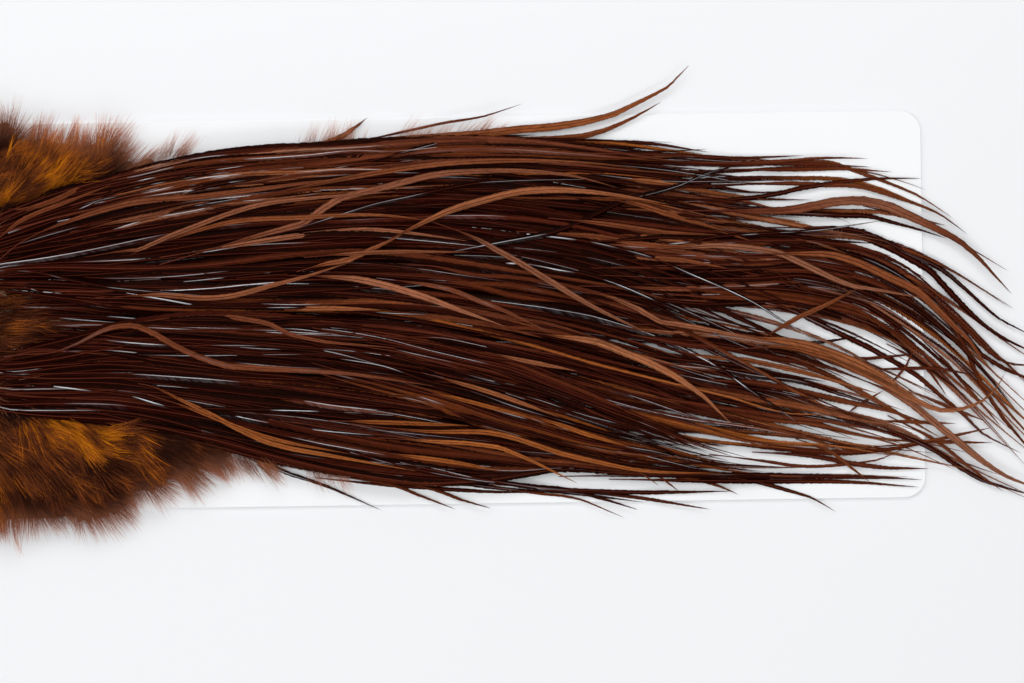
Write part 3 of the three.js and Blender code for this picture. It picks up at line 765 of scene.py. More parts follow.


# Single hackles on the surface: width, tone, painted sheen and route from root to tip

ribbons = [
    (3.0, 0.9, 0, [(-14, 48), (20, 48.6), (40, 50.3), (50, 51), (60, 52.5), (66, 54), (74, 57.5), (81, 61),
        (87, 66.5)]),
    (2.2, 0.8, 0, [(20, 47), (50, 47.5), (57, 48), (65, 50), (72, 53), (79, 56.8)]),
    (1.0, 0.6, 0, [(-10, 47), (0, 48.5), (10, 50.5), (20, 52.5), (30, 54), (40, 57)]),
    (2.5, 1.0, 0, [(-60, 14), (-42, 19), (-33, 21.5), (-20, 25), (-15, 28.5), (-10, 31.5), (0, 34),
        (10, 36.5), (20, 38.3), (40, 38.6), (55, 37), (66, 34)]),
    (2.0, 0.92, 0, [(-40, 31), (-20, 35), (0, 38.5), (20, 41), (40, 41.5), (60, 40.5), (72, 39)]),
    (2.6, 1.0, 0, [(-4, 16), (10, 23), (20, 27.5), (30, 30.5), (40, 32.7), (50, 33.2), (60, 32.5), (70, 31),
        (80, 29)]),
    (2.0, 0.9, 0, [(-60, 16), (-42, 18.5), (-25, 21), (-10, 22.5), (0, 22.8), (10, 21.7), (24, 19.5)]),
    (1.8, 0.85, 0, [(-70, 16), (-60, 20), (-40, 25.5), (-20, 26.5), (-5, 27), (5, 26.5), (14, 25.2)]),
    (1.8, 0.88, 0, [(-86, 15.6), (-73, 17.5), (-65, 18.5), (-58, 21.5), (-50, 24.5), (-40, 28), (-30, 30.5),
        (-15, 32), (4, 33.2)]),
    (2.2, 0.85, 0, [(-105, 16), (-100, 20), (-92, 24), (-85, 26.5), (-75, 29.5), (-65, 31.5), (-50, 32.5),
        (-20, 36), (-4, 37.5)]),
    (2.0, 0.8, 0, [(-112, 26), (-105, 29.5), (-97, 30), (-90, 32), (-80, 36.5), (-70, 40.5), (-56, 43)]),
    (1.6, 0.8, 0, [(-110, 18), (-105, 22), (-100, 26), (-95, 28.5), (-85, 32), (-74, 36)]),
    (2.0, 1.0, 0, [(-22, 11.5), (-14, 13.5), (-8, 14.5), (-2, 17), (6, 20.6)]),
    (2.0, 0.85, 0, [(-78, 5), (-60, 5.5), (-50, 4.5), (-40, 5), (-30, 7.5), (-20, 10), (-8, 13.6)]),
    (1.9, 0.85, 0, [(-86, 3), (-72, 3), (-60, 2), (-50, 0), (-40, -1), (-30, -3), (-25, -5.5), (-15, -8),
        (4, -10)]),
    (1.6, 0.8, 0, [(-20, 15.4), (-10, 16), (5, 16.5), (24, 16.2)]),
    (2.2, 0.95, 0, [(14, 25.4), (22, 22.5), (28, 19.8), (32, 17.5), (40, 12.9), (50, 6.7), (60, 0.6),
        (74, -6.5)]),
    (2.5, 1.0, 0, [(-24, 10.4), (-15, 10), (-5, 9), (5, 6.6), (15, 3.3), (22, 0.5), (34, -4)]),
    (1.8, 0.9, 0.15, [(0, 9.4), (10, 8), (20, 6), (28, 2.8), (36, -0.5), (47, -6)]),
    (2.3, 0.85, 0.1, [(-104, -11), (-100, -10.5), (-90, -10), (-83, -7.5), (-77, -4.5), (-72, -3),
        (-67, -3), (-62, -5), (-57, -8), (-50, -11.5), (-43, -14), (-35, -15), (-15, -16.5), (-5, -17.5),
        (14, -20.6)]),
    (1.8, 0.85, 0, [(-72, -18), (-62, -20), (-55, -23.5), (-48, -27), (-40, -31.5), (-33, -35),
        (-25, -37.5), (-15, -39.5), (9, -44.2)]),
    (1.5, 0.8, 0, [(-64, -22), (-55, -25), (-45, -29), (-35, -33), (-25, -36), (-10, -39)]),
    (1.8, 0.95, 0, [(-30, 0.8), (-25, 1), (-15, 1.2), (0, 0.6)]),
    (1.7, 0.9, 0, [(-14, -30), (-5, -30.5), (15, -31.5), (24, -32)]),
    (1.9, 0.95, 0, [(-8, -31), (4, -32.5), (15, -33.5), (30, -34), (40, -36.5), (50, -40), (62, -43),
        (75, -45.5), (94, -46.4)]),
    (1.6, 0.9, 0, [(0, -35), (12, -36), (25, -37), (32, -38), (40, -41), (54, -48)]),
    (1.7, 0.9, 0, [(0, -39), (10, -40.5), (20, -42), (32, -44.4)]),
    (1.7, 0.9, 0, [(12, -17), (22, -20), (30, -22.5), (40, -26), (49, -29.6)]),
    (1.5, 0.85, 0, [(10, -22.5), (20, -24), (44, -30.6)]),
    (1.6, 0.9, 0, [(30, -11.6), (40, -14), (54, -17)]),
    (1.6, 0.9, 0, [(40, -29), (50, -32), (58, -35), (69, -38.4)]),
    (2.0, 0.9, 0, [(62, 31), (74, 28.5), (80, 26.5), (88, 24), (103, 18.7)]),
    (1.8, 0.85, 0, [(48, 25.4), (60, 24), (70, 22.5), (80, 21), (94, 20)]),
    (2.3, 0.95, 0, [(72, 16), (85, 16.5), (95, 17), (105, 16), (113, 14.3), (120, 11), (126, 8), (132, 5.5),
        (140, 4), (152, 1.6)]),
    (1.9, 0.9, 0, [(54, 5.4), (65, 3), (72, 0), (78, -3.5), (88, -5.5), (108, -9.6)]),
    (2.8, 1.0, 0, [(40, -6), (50, -7.5), (60, -9), (68, -12), (76, -15.5), (84, -20), (90, -24.5),
        (97, -31.5)]),
    (3.4, 0.86, 0, [(84, 27), (110, 26.5), (120, 27.5), (128, 28.8), (135, 29), (142, 27.5), (150, 24),
        (157, 20.5), (163, 17), (168, 12.5), (172, 8), (176, 3.5)]),
    (2.8, 0.9, 0, [(100, 14.5), (120, 14.5), (128, 13.8), (136, 11), (143, 7.5), (150, 4), (155, -0.5),
        (160, -5.5), (165, -10.5), (168, -15), (172, -20)]),
    (2.6, 0.85, 0, [(130, -19), (142, -24), (150, -29), (156, -34), (162, -39), (168, -44), (174, -48),
        (183, -52)]),
    (1.8, 0.85, 0, [(104, -10), (108, -8.5), (117, -3.5), (125, 0), (134, 4.5)]),
    (3.2, 0.85, 0, [(98, -8), (116, -10.2), (128, -14), (138, -18.6), (149, -25.5)]),
    (2.4, 0.8, 0, [(96, -12), (112, -11.5), (120, -13), (128, -15.5), (135, -19), (142, -22.5), (150, -27),
        (156, -29.5), (162, -29.5), (168, -27.5), (172, -24), (174, -21)]),
]

# dark hackles that carry strong painted glints, seen as grey and white lines
glintedHackles = [
    (1.5, 0.0, 0.85, [(-62, 42), (-51, 44.2), (-40, 45.8), (-27, 46.8), (-15, 47.2)]),
    (2.4, 0.0, 0.4, [(14, 15), (30, 18), (50, 21.5), (57, 24), (63, 27), (70, 30), (78, 32), (85, 34),
        (92, 37), (101, 39.4)]),
    (1.6, 0.05, 0.3, [(-34, 20), (-20, 24), (-10, 27), (0, 30), (10, 32), (20, 34), (30, 35.5), (45, 36),
        (58, 36)]),
    (1.5, 0.05, 0.3, [(-18, 39), (-6, 41), (5, 43.5), (15, 46), (25, 48), (44, 48.7)]),
    (1.4, 0.0, 0.6, [(-72, 6.6), (-60, 4.5), (-50, 2.5), (-40, 0.5), (-30, -0.5), (-15, -1.2), (0, -2.5),
        (14, -3)]),
    (1.5, 0.05, 0.3, [(-105, 13), (-95, 12.5), (-85, 10), (-75, 8), (-62, 6.5), (-40, 4.4)]),
    (1.6, 0.0, 0.5, [(-112, 8.7), (-105, 8.5), (-98, 8.2), (-90, 6), (-76, 3.4)]),
    (1.4, 0.0, 0.85, [(-90, -19.4), (-78, -21), (-68, -22.5), (-60, -25), (-50, -26), (-15, -27.5),
        (4, -28.8)]),
    (1.4, 0.0, 0.75, [(42, 21), (50, 20), (60, 18.5), (70, 16), (78, 13.5), (88, 9), (97, 5), (105, 1),
        (112, -3.5), (124, -11)]),
    (1.6, 0.0, 0.7, [(36, 13), (43, 12.5), (50, 11), (58, 9.5), (66, 7), (72, 4.5), (84, -1.2)]),
    (1.2, 0.0, 0.65, [(76, 17.4), (86, 18), (95, 19.5), (110, 20.3), (124, 21), (140, 23.2)]),
    (1.3, 0.0, 0.6, [(86, -12), (95, -17), (103, -23), (116, -32)]),
    (1.6, 0.0, 0.55, [(-92, 33), (-80, 38.4), (-66, 42)]),
    (1.5, 0.0, 0.5, [(-84, 29), (-70, 34.5), (-52, 38), (-40, 39.4)]),
    (1.5, 0.0, 0.55, [(-58, 32.6), (-44, 36), (-30, 37.6)]),
    (1.5, 0.0, 0.5, [(-66, 26), (-54, 29.4), (-38, 32)]),
]

strays = [
    (2.4, 0.62, 0, [(-26, 43.5), (-18, 45.4), (-11, 48), (-7, 50.4), (-3, 53.4)]),
    (1.7, 0.1, 0.3, [(-8, -39), (8, -43.5), (24, -46.8), (40, -49), (56, -51), (70, -52.4)]),
    (1.6, 0.15, 0.3, [(-14, -43), (4, -45.5), (20, -47.8), (36, -50), (54, -51.5)]),
    (1.6, 0.2, 0.2, [(2, -41), (18, -45), (34, -48), (50, -50.5), (64, -51.5), (80, -51)]),
    (1.5, 0.1, 0.4, [(12, -43), (26, -46.5), (42, -49.6), (58, -52), (72, -54)]),
    (1.5, 0.3, 0, [(-18, -46), (-2, -48), (14, -49.4), (30, -50.6), (46, -51)]),
    (2.0, 0.05, 0.6, [(-84, -25.5), (-70, -27), (-60, -29), (-50, -32), (-45, -35), (-38, -39),
        (-33, -41.5), (-25, -45), (-15, -48.5), (-1, -54.8)]),
    (1.2, 0.45, 0, [(-14, -45.4), (2, -48), (10, -51), (20, -55)]),
    (1.2, 0.4, 0, [(0, -46.6), (14, -49.5), (22, -52.5), (30, -55)]),
    (1.0, 0.5, 0, [(18, -47.6), (35, -50), (45, -51.5), (55, -53), (67, -58)]),
    (1.4, 0.3, 0, [(30, -48.6), (50, -50), (60, -52.5), (71, -56)]),
    (1.5, 0.35, 0, [(40, -49), (60, -51.5), (75, -53.5), (91, -56.3)]),
    (1.6, 0.3, 0, [(36, -49), (55, -50.5), (75, -51.5), (97, -51.5)]),
    (1.2, 0.5, 0, [(54, -40), (68, -43), (77, -49)]),
    (1.1, 0.5, 0, [(66, -42), (78, -47), (83, -51)]),
    (1.4, 0.4, 0, [(74, -46), (90, -48.5), (99, -52)]),
    (1.6, 0.3, 0, [(80, -46.8), (100, -48), (112, -51), (121, -54), (126, -57)]),
    (1.5, 0.3, 0, [(40, 47), (60, 46.5), (76, 46), (92, 43.4)]),
    (1.7, 0.35, 0, [(50, 43.5), (80, 42.6), (100, 41.4), (118, 41.8)]),
    (1.8, 0.5, 0, [(70, 41), (95, 40), (110, 40), (125, 41), (136, 40.8)]),
    (1.5, 0.4, 0, [(84, 40), (105, 39.8), (120, 39.5), (137, 38.5)]),
    (1.4, 0.4, 0, [(96, 38.5), (115, 38), (130, 38), (143, 37)]),
    (1.8, 0.2, 0, [(84, 29), (107, 30.5), (118, 32.5), (128, 34), (140, 35), (151, 35)]),
    (1.5, 0.55, 0, [(96, 39), (118, 40), (128, 39.5), (135, 37), (143, 34), (150, 31), (155, 28),
        (160, 24.5)]),
    (1.7, 0.55, 0, [(94, 34), (115, 34), (125, 33.5), (135, 33), (145, 30), (153, 27), (158, 24.5),
        (164, 20)]),
    (1.2, 0.5, 0, [(136, 27.6), (148, 24.5), (158, 22)]),
    (2.0, 0.1, 0.1, [(92, 26), (112, 26), (130, 25), (138, 24.5), (145, 22.5), (152, 20.5), (158, 18.5)]),
    (1.9, 0.15, 0.05, [(108, 22), (128, 21.5), (135, 20.5), (142, 17.5), (150, 13.5), (157, 10), (162, 6),
        (168, 0.5), (173, -4), (183, -9.6)]),
    (2.4, 0.25, 0, [(110, 21), (130, 20), (140, 17), (148, 13), (155, 8.5), (160, 3), (168, -5), (175, -10),
        (185, -15)]),
    (1.6, 0.45, 0, [(150, 4), (158, -2), (165, -8), (170, -13), (175, -16.5), (184, -18)]),
    (1.7, 0.4, 0, [(154, -2), (162, -9), (168, -14), (174, -18), (185, -23)]),
    (1.6, 0.55, 0, [(150, 8), (156, 1), (160, -5), (165, -15), (168, -22), (172, -26), (176, -31),
        (184, -40)]),
    (1.5, 0.35, 0, [(158, -13), (165, -20), (170, -26), (174, -32), (183, -43)]),
    (1.4, 0.6, 0, [(152, -10), (158, -16), (163, -22), (168, -28), (173, -34)]),
    (1.9, 0.5, 0.1, [(104, -12), (120, -17), (130, -22), (140, -27.5), (150, -33.5), (156, -37)]),
    (2.0, 0.3, 0.15, [(96, 3), (112, 0), (120, -3.5), (128, -7.5), (135, -11), (142, -15), (150, -20),
        (157, -26), (163, -31), (168, -36), (173, -39), (178, -41.5)]),
    (1.4, 0.5, 0, [(148, -24), (157, -28), (168, -32.5)]),
    (1.8, 0.1, 0.1, [(134, -31.5), (150, -38.5), (157, -42.5), (162, -46), (168, -49.5), (181, -53.6)]),
    (1.4, 0.45, 0, [(142, -31), (155, -38), (165, -46), (173, -52)]),
    (1.3, 0.55, 0, [(138, -32.4), (150, -33), (160, -33.5)]),
    (1.4, 0.4, 0, [(142, -38), (155, -38.5), (170, -39)]),
    (1.3, 0.5, 0, [(138, -39.6), (150, -39), (160, -37), (170, -35)]),
    (2.2, 0.3, 0, [(90, -37.6), (106, -39), (115, -40), (125, -41), (135, -41), (145, -40), (155, -38.5)]),
    (1.9, 0.35, 0, [(104, -40.6), (120, -42), (130, -44), (140, -45.5), (152, -46)]),
    (1.2, 0.5, 0, [(92, -41), (106, -43), (118, -44.8), (130, -44.5), (140, -43), (146, -40.4)]),
    (2.2, 0.15, 0.1, [(50, -46.6), (80, -46.6), (106, -47), (130, -48), (143, -48.5), (150, -49)]),
    (2.0, 0.25, 0, [(64, -47.6), (100, -48.6), (130, -49.4), (149, -51)]),
    (1.3, 0.5, 0, [(116, -37), (126, -41), (131, -45), (136, -49)]),
    (1.0, 0.6, 0, [(141, -23.6), (144, -21), (147, -17.5), (149, -13.5)]),
    (1.1, 0.5, 0, [(130, -31), (133, -28.5), (140, -24.5)]),
    (1.3, 0.5, 0, [(118, -13), (127, -14), (135, -15), (150, -14)]),
    (1.4, 0.1, 0.15, [(98, -9.6), (108, -10), (120, -10.5), (134, -9)]),
    (1.3, 0.5, 0, [(136, -18), (145, -18), (155, -18), (166, -20)]),
    (1.3, 0.55, 0, [(142, -11), (152, -17), (158, -25)]),
]

flows = [  # hackles on top that keep between two guides; their sheens are strengths of a painted glint
    {
        "above": [(-112, 12), (-105, 9), (-75, 7.5), (-60, 6.5), (-20, 8), (20, 8), (50, 5)],
        "below": [(-112, -14), (-100, -10), (-75, -11), (-60, -13), (-20, -17), (20, -23), (50, -31)],
        "count": 42, "start": (-113, -101), "end": (-35, 45), "width": (1.2, 2.2),
        "tones": (0.0, 0.0, 0.1, 0.2, 0.35), "sheens": (0, 0, 0.6, 0.9),
    },
    {
        "above": [(-30, -1), (6, -6.6), (38.7, -13.9), (58, -21.9), (77.5, -31.1), (93.5, -39.1),
            (112, -45)],
        "below": [(-30, -14), (6, -23.9), (32, -33.3), (51.6, -39), (71, -42.6), (87, -45.3), (112, -47.5)],
        "count": 38, "start": (-30, 22), "end": (66, 112), "width": (1.3, 2.3),
        "tones": (0.0, 0.05, 0.15, 0.3, 0.45, 0.55), "sheens": (0, 0, 0, 0.4),
    },
    {
        "above": [(60, 19), (90, 19.5), (118, 19.5), (137, 17), (149, 11), (160, 1), (172, -14.5),
            (186, -34)],
        "below": [(60, 4), (90, 1), (118, 0.5), (137, -5), (149, -13), (160, -22.5), (172, -32.5),
            (186, -48)],
        "count": 26, "start": (52, 96), "end": (144, 184), "width": (1.5, 2.6),
        "tones": (0.05, 0.2, 0.35, 0.55, 0.75), "sheens": (0, 0, 0, 0.3),
    },
    {
        "above": [(60, -2), (70, -4), (100, -8), (120, -12), (140, -20), (162, -32)],
        "below": [(56, -19), (70, -24), (90, -29), (110, -33), (130, -36), (152, -40)],
        "count": 15, "start": (58, 92), "end": (122, 158), "width": (1.6, 2.6),
        "tones": (0.1, 0.35, 0.55, 0.75, 0.9), "sheens": (0, 0, 0, 0.3),
    },
    {
        "above": [(-105, 29), (-80, 38), (-50, 43.8), (-20, 46), (20, 47), (50, 44)],
        "below": [(-105, 15), (-80, 20), (-50, 26), (-20, 29), (20, 31), (50, 28)],
        "count": 14, "start": (-104, -72), "end": (-30, 30), "width": (1.4, 2.1),
        "tones": (0.55, 0.75, 0.9, 1.0), "sheens": (0, 0, 0.6),
    },
    {
        "above": [(30, 38), (60, 37), (90, 34), (118, 29), (140, 24)],
        "below": [(30, 20), (60, 16), (90, 12), (118, 8), (140, 0)],
        "count": 21, "start": (34, 84), "end": (92, 138), "width": (1.7, 2.6), "tones": (0.6, 0.85, 1.0),
        "sheens": (0, 0, 0.2),
    },
    {
        "above": [(-4, 15), (20, 13), (50, 9), (80, 2)],
        "below": [(-4, 0), (20, -4), (50, -10), (80, -20)],
        "count": 7, "start": (-4, 22), "end": (44, 80), "width": (1.6, 2.4), "tones": (0.45, 0.55, 0.65),
        "sheens": (0, 0, 0.2),
    },
]
routeStep = 12.0


def flowRows(flow, rng):
    rows = []
    for number in range(flow["count"]):
        share = (number + rng.uniform(0, 1)) / flow["count"]
        later = share + rng.uniform(-0.15, 0.15)
        start, end = rng.uniform(*flow["start"]), rng.uniform(*flow["end"])
        route = []
        for x in np.arange(start, end, routeStep):
            above, below = (np.interp(x, *zip(*flow[edge])) for edge in ("above", "below"))
            mix = share + (later - share) * (x - start) / (end - start)
            route.append((x, above + (below - above) * mix + rng.uniform(-0.5, 0.5)))
        width, tone = rng.uniform(*flow["width"]), rng.choice(flow["tones"])
        rows.append((width, tone, rng.choice(flow["sheens"]), route))
    return rows


single = {
    "step": 4.0,
    "scatter": 0.6,  # of their heights
    "dip": 1.2,  # where they come out of the surface
    "dipLength": 0.014,  # metres
    "clearance": 0.4,
    "narrowing": 0.76,
    "quill": (0.19, 0.27),  # plain, and with a painted sheen
}


def surfaceFeathers(rows, rng, rise, base=0.0):
    feathers = []
    for width, tone, sheen, route in rows:
        flat = smoothPath([(x * mm, y * mm) for x, y in route], single["step"] * mm)
        s = distances(flat)
        heights = np.array([heightAt(x, y) for x, y in flat])
        scatter = rng.uniform(0, single["scatter"]) * mm
        heights = np.maximum(blur(heights, 6), blur(heights, 2)) + rise * mm + scatter
        heights = heights - (1 - smoothstep(0, single["dipLength"], s)) * single["dip"] * mm
        floorHeight = np.where(flat[:, 0] < cardEnd, cardTop, 0.0) + single["clearance"] * mm
        points = np.column_stack([flat, np.maximum(heights, floorHeight)])
        if tone > 0.5:
            tone = tone * rng.uniform(0.78, 1.0) * (0.45 + 0.55 * smoothstep(0, 0.25, s / s[-1]))
        # the tips are lightened with painted light shining through them
        tones = np.clip(tone + paintedTipGlow(flat[:, 0], flat[:, 1]), 0, 1)
        atLowerSide = flat[:, 1].mean() < -0.026 and flat[-1, 0] < 0.12
        gold = rng.uniform(0.6, 1.0) if atLowerSide else rng.uniform(0, 0.4)
        quill = single["quill"][sheen > 0.5]
        feathers.append(feather(points, width * single["narrowing"], tones, rng, taper=0.4, root=0.35,
                                base=base, sheen=sheen, twist=0.25, quill=quill, gold=gold))
    return feathers


def buildSingles(tree, material):
    rng = random.Random(21)
    low = surfaceFeathers(flowRows(flows[0], rng), rng, 0.3, 0.8) + surfaceFeathers(strays, rng, 0.3, 0.2)
    for flow in flows[1:]:
        low += surfaceFeathers(flowRows(flow, rng), rng, 0.3)
    low += surfaceFeathers(glintedHackles, rng, 0.9)
    strayNames = [n for n in singleNames if n.startswith("hackle_lower_") and n.endswith("stray")]
    featherPiece("stray_hackles", low, tree, material, "mahogany_hackle", strayNames,
                 **{"Barb Spacing": 0.0006, "Seed": 5})
    others = [n for n in singleNames if n not in strayNames]
    top = surfaceFeathers(ribbons, rng, 1.3)
    featherPiece("cinnamon_ribbons", top, tree, material, "ginger_hackle", others,
                 **{"Barb Spacing": 0.0005, "Droop": 0.22, "Seed": 9, "Raggedness": 0.06})


# Down: tufts of fine hair on puffed bodies

downInputs = [
    ("Density", "NodeSocketFloat", 9.0e6),
    ("Hair Width", "NodeSocketFloat", 0.016),
    ("Clumping", "NodeSocketFloat", 0.7),
    ("Clumps per Metre", "NodeSocketFloat", 240.0),
    ("Lift", "NodeSocketFloat", 0.25),
    ("Bare Hair", "NodeSocketBool", False),
    ("Material", "NodeSocketMaterial", None),
    ("Seed", "NodeSocketInt", 3),
]


downHair = {
    "scatter": {0: (-0.24, -0.24, -0.14), 1: (0.24, 0.24, 0.2)},
    "taper": (1.5, -0.9),  # power, and how much of the width goes
    "arch": 0.4,
    "tufting": (3.0, 0.6, 0.85),  # power, how much longer in the tufts, and the least
    "lengths": (0.5, 1.2),
    "rimThinning": -0.4,
}


def powered(value, power, factor, offset):
    return linear(calculate("POWER", value, power), factor, offset)


def buildDownTree():
    tree, given = newTree("Down", downInputs)
    spots = addNode(tree, "GeometryNodeDistributePointsOnFaces", {
        "Mesh": given["Geometry"], "Density": given["Density"], "Seed": given["Seed"],
    }).outputs
    place = position(tree)
    cells = addNode(tree, "ShaderNodeTexVoronoi", {"Vector": place, "Scale": given["Clumps per Metre"]},
                    voronoi_dimensions="2D").outputs
    # the hairs follow the flow, gather in clumps and scatter a little
    inward = vectorMath("SUBTRACT", cells["Position"], vectorMath("MULTIPLY", place, (1.0, 1.0, 0.0)))
    pull = calculate("DIVIDE", given["Clumping"], named(tree, "hairLength"))
    flow, scatter = named(tree, "flow", "FLOAT_VECTOR"), downHair["scatter"]
    scatter = addNode(tree, "FunctionNodeRandomValue", scatter, data_type="FLOAT_VECTOR").outputs[0]
    for part in (vectorMath("SCALE", inward, scale=pull), scatter, combine(0.0, 0.0, given["Lift"])):
        flow = vectorMath("ADD", flow, part)
    turn = addNode(tree, "FunctionNodeAxesToRotation", {0: flow, 1: spots["Normal"]},
                   primary_axis="X", secondary_axis="Z").outputs[0]
    marked = store(spots["Points"], "hairIndex", addNode(tree, "GeometryNodeInputIndex").outputs[0])
    marked = store(marked, "shade", randomNumber(tree, 0.0, 1.0, 4))
    marked = store(marked, "clumpTone", separate(cells["Color"])[0])
    # one hair: a narrow sheet that arches and tapers
    local = separate(position(tree))
    reach = calculate("ADD", local[1], 0.5)
    blade = store(store(sheet(tree, 3), "reach", reach), "side", local[0])
    width = times(local[0], given["Hair Width"], powered(reach, *downHair["taper"], 1.0))
    arch = times(reach, calculate("SUBTRACT", 1.0, reach), downHair["arch"])
    shaped = {"Geometry": blade, "Position": combine(reach, width, arch)}
    hair = addNode(tree, "GeometryNodeSetPosition", shaped).outputs[0]
    tufted = powered(named(tree, "clumpTone"), *downHair["tufting"])
    length = times(named(tree, "hairLength"), randomNumber(tree, *downHair["lengths"], 8), tufted)
    thin = times(length, linear(named(tree, "rim"), downHair["rimThinning"], 1.0))
    fur = addNode(tree, "GeometryNodeInstanceOnPoints", {
        "Points": marked, "Instance": hair, "Rotation": turn, "Scale": combine(length, thin, length),
    }).outputs[0]
    shown = {"Switch": given["Bare Hair"], "False": store(given["Geometry"], "isBody", 1.0)}
    body = addNode(tree, "GeometryNodeSwitch", shown, input_type="GEOMETRY").outputs[0]
    return closeTree(tree, (body, fur), given["Material"])


glows = [  # patches of the down's colour: from, to, radius in mm, tone
    ((-100, 38), (-78, 47), 4.5, 0.85), ((-104, 32), (-90, 36), 4, 0.75), ((-68, 46), (-56, 44), 8, 0.08),
    ((-110, 52), (-96, 53), 6, 0.15), ((-92, 53), (-76, 53), 3, 0.3), ((-90, -30), (-80, -33.5), 3.6, 1.1),
    ((-108, -42), (-103, -52), 3.5, 0.75), ((-100, -36), (-84, -42), 5, 0.36),
    ((-60, -40), (-40, -42), 8, 0.2), ((-100, -50), (-74, -50), 7, 0.2), ((-74, -36), (-66, -40), 4, 0.5),
    ((-100, 4), (-100, -12), 6, 0.3), ((-20, 48), (40, 48), 6, 0.3),
]
plainTone, plainWeight = 0.3, 0.25  # away from the patches


def downTone(x, y):
    tone, weight = plainTone * plainWeight, plainWeight
    for (x0, y0), (x1, y1), radius, value in glows:
        dx, dy = x1 - x0, y1 - y0
        t = np.clip(((x - x0) * dx + (y - y0) * dy) / (dx * dx + dy * dy), 0, 1)
        gap = np.hypot(x - x0 - t * dx, y - y0 - t * dy) / radius
        pull = np.exp(-gap * gap)
        tone, weight = tone + pull * value, weight + pull
    return tone / weight


downLook = {
    "colours": [
        (0.0, (0.03, 0.008, 0.004)),
        (0.3, (0.09, 0.023, 0.009)),
        (0.6, (0.22, 0.054, 0.014)),
        (0.85, (0.56, 0.145, 0.006)),
        (1.0, (0.78, 0.24, 0.008)),
    ],
    "rim": (0.62, 0.235, 0.13),
    "roughness": 0.8,
    "specular": 0.05,
}


def downMaterial():
    material, tree, shader = newMaterial("down", downLook["roughness"], downLook["specular"])
    reach = attribute(tree, "reach")
    tone = calculate("ADD", attribute(tree, "tone"), linear(noiseOn(tree, 170.0), 0.9, -0.5))
    tone = calculate("ADD", tone, linear(attribute(tree, "clumpTone"), 0.4, -0.2))
    tone = calculate("ADD", tone, linear(attribute(tree, "shade"), 0.66, -0.35), clamp=True)
    # painted shade: each hair darker at its root, deep in the fur, and lighter to its tip
    colour = darken(ramp(tone, downLook["colours"]), linear(reach, 0.85, 0.3))
    rim = times(attribute(tree, "rim"), linear(reach, 0.75, 0.22))
    link(shader, Base_Color=mixColours(rim, colour, downLook["rim"]))
    return material


def cellDistance(inside):
    gap = np.where(inside, 1e3, 0.0)
    for _ in range(16):
        for dx, dy in ((1, 0), (0, 1), (1, 1), (1, -1)):
            for sign in (1, -1):
                gap = np.minimum(gap, np.roll(gap, (sign * dx, sign * dy), (0, 1)) + math.hypot(dx, dy))
    return gap


def smear(grid, passes):
    for _ in range(passes):
        for axis in (0, 1):
            grid = 0.5 * grid + 0.25 * np.roll(grid, 1, axis) + 0.25 * np.roll(grid, -1, axis)
    return grid


down = {
    "cell": 1.0,
    "margin": 8,  # cells
    "closing": 4,
    "shrink": 3.2,
    "outline": {  # how far from the middle the body reaches, along x
        "upper": [(-150, 44), (-116, 52), (-103, 54), (-96, 49.5), (-87, 48), (-78, 48), (-70, 45), (-60, 41),
                  (-50, 39)],
        "lower": [(-150, 44), (-120, 54.5), (-105, 56), (-80, 56.5), (-73, 55.5), (-68, 50), (-58, 46.5),
                  (-46, 42.5), (-38, 40), (-25, 37)],
    },
    "edge": 6.0,  # over which it rises from the rim
    "rim": 7,  # over which the hairs turn outwards
    "outturn": 1.4,
    "inner": 15.0,  # nearest to the middle of the skin
    "under": 2.2,  # mm below the hackles that lie over it
    "sink": 1.2,
    "puff": 0.9,
    "swirl": (1.1, 8),  # radians, and mm of its noise
    "wobble": (3.0, 5),  # mm of the rim, and of its noise
    "smearing": {"outline": 4, "flow": 6, "height": 8},  # passes
    "floor": 0.3,  # above the card
    "pivots": {"upper": (-128.0, 4.0), "lower": (-125.0, -6.0)},
    "hair": (8.5, 7.0),  # length in mm, inside and at the rim
    "covered": 0.75,  # how much shorter it is under the hackles
}


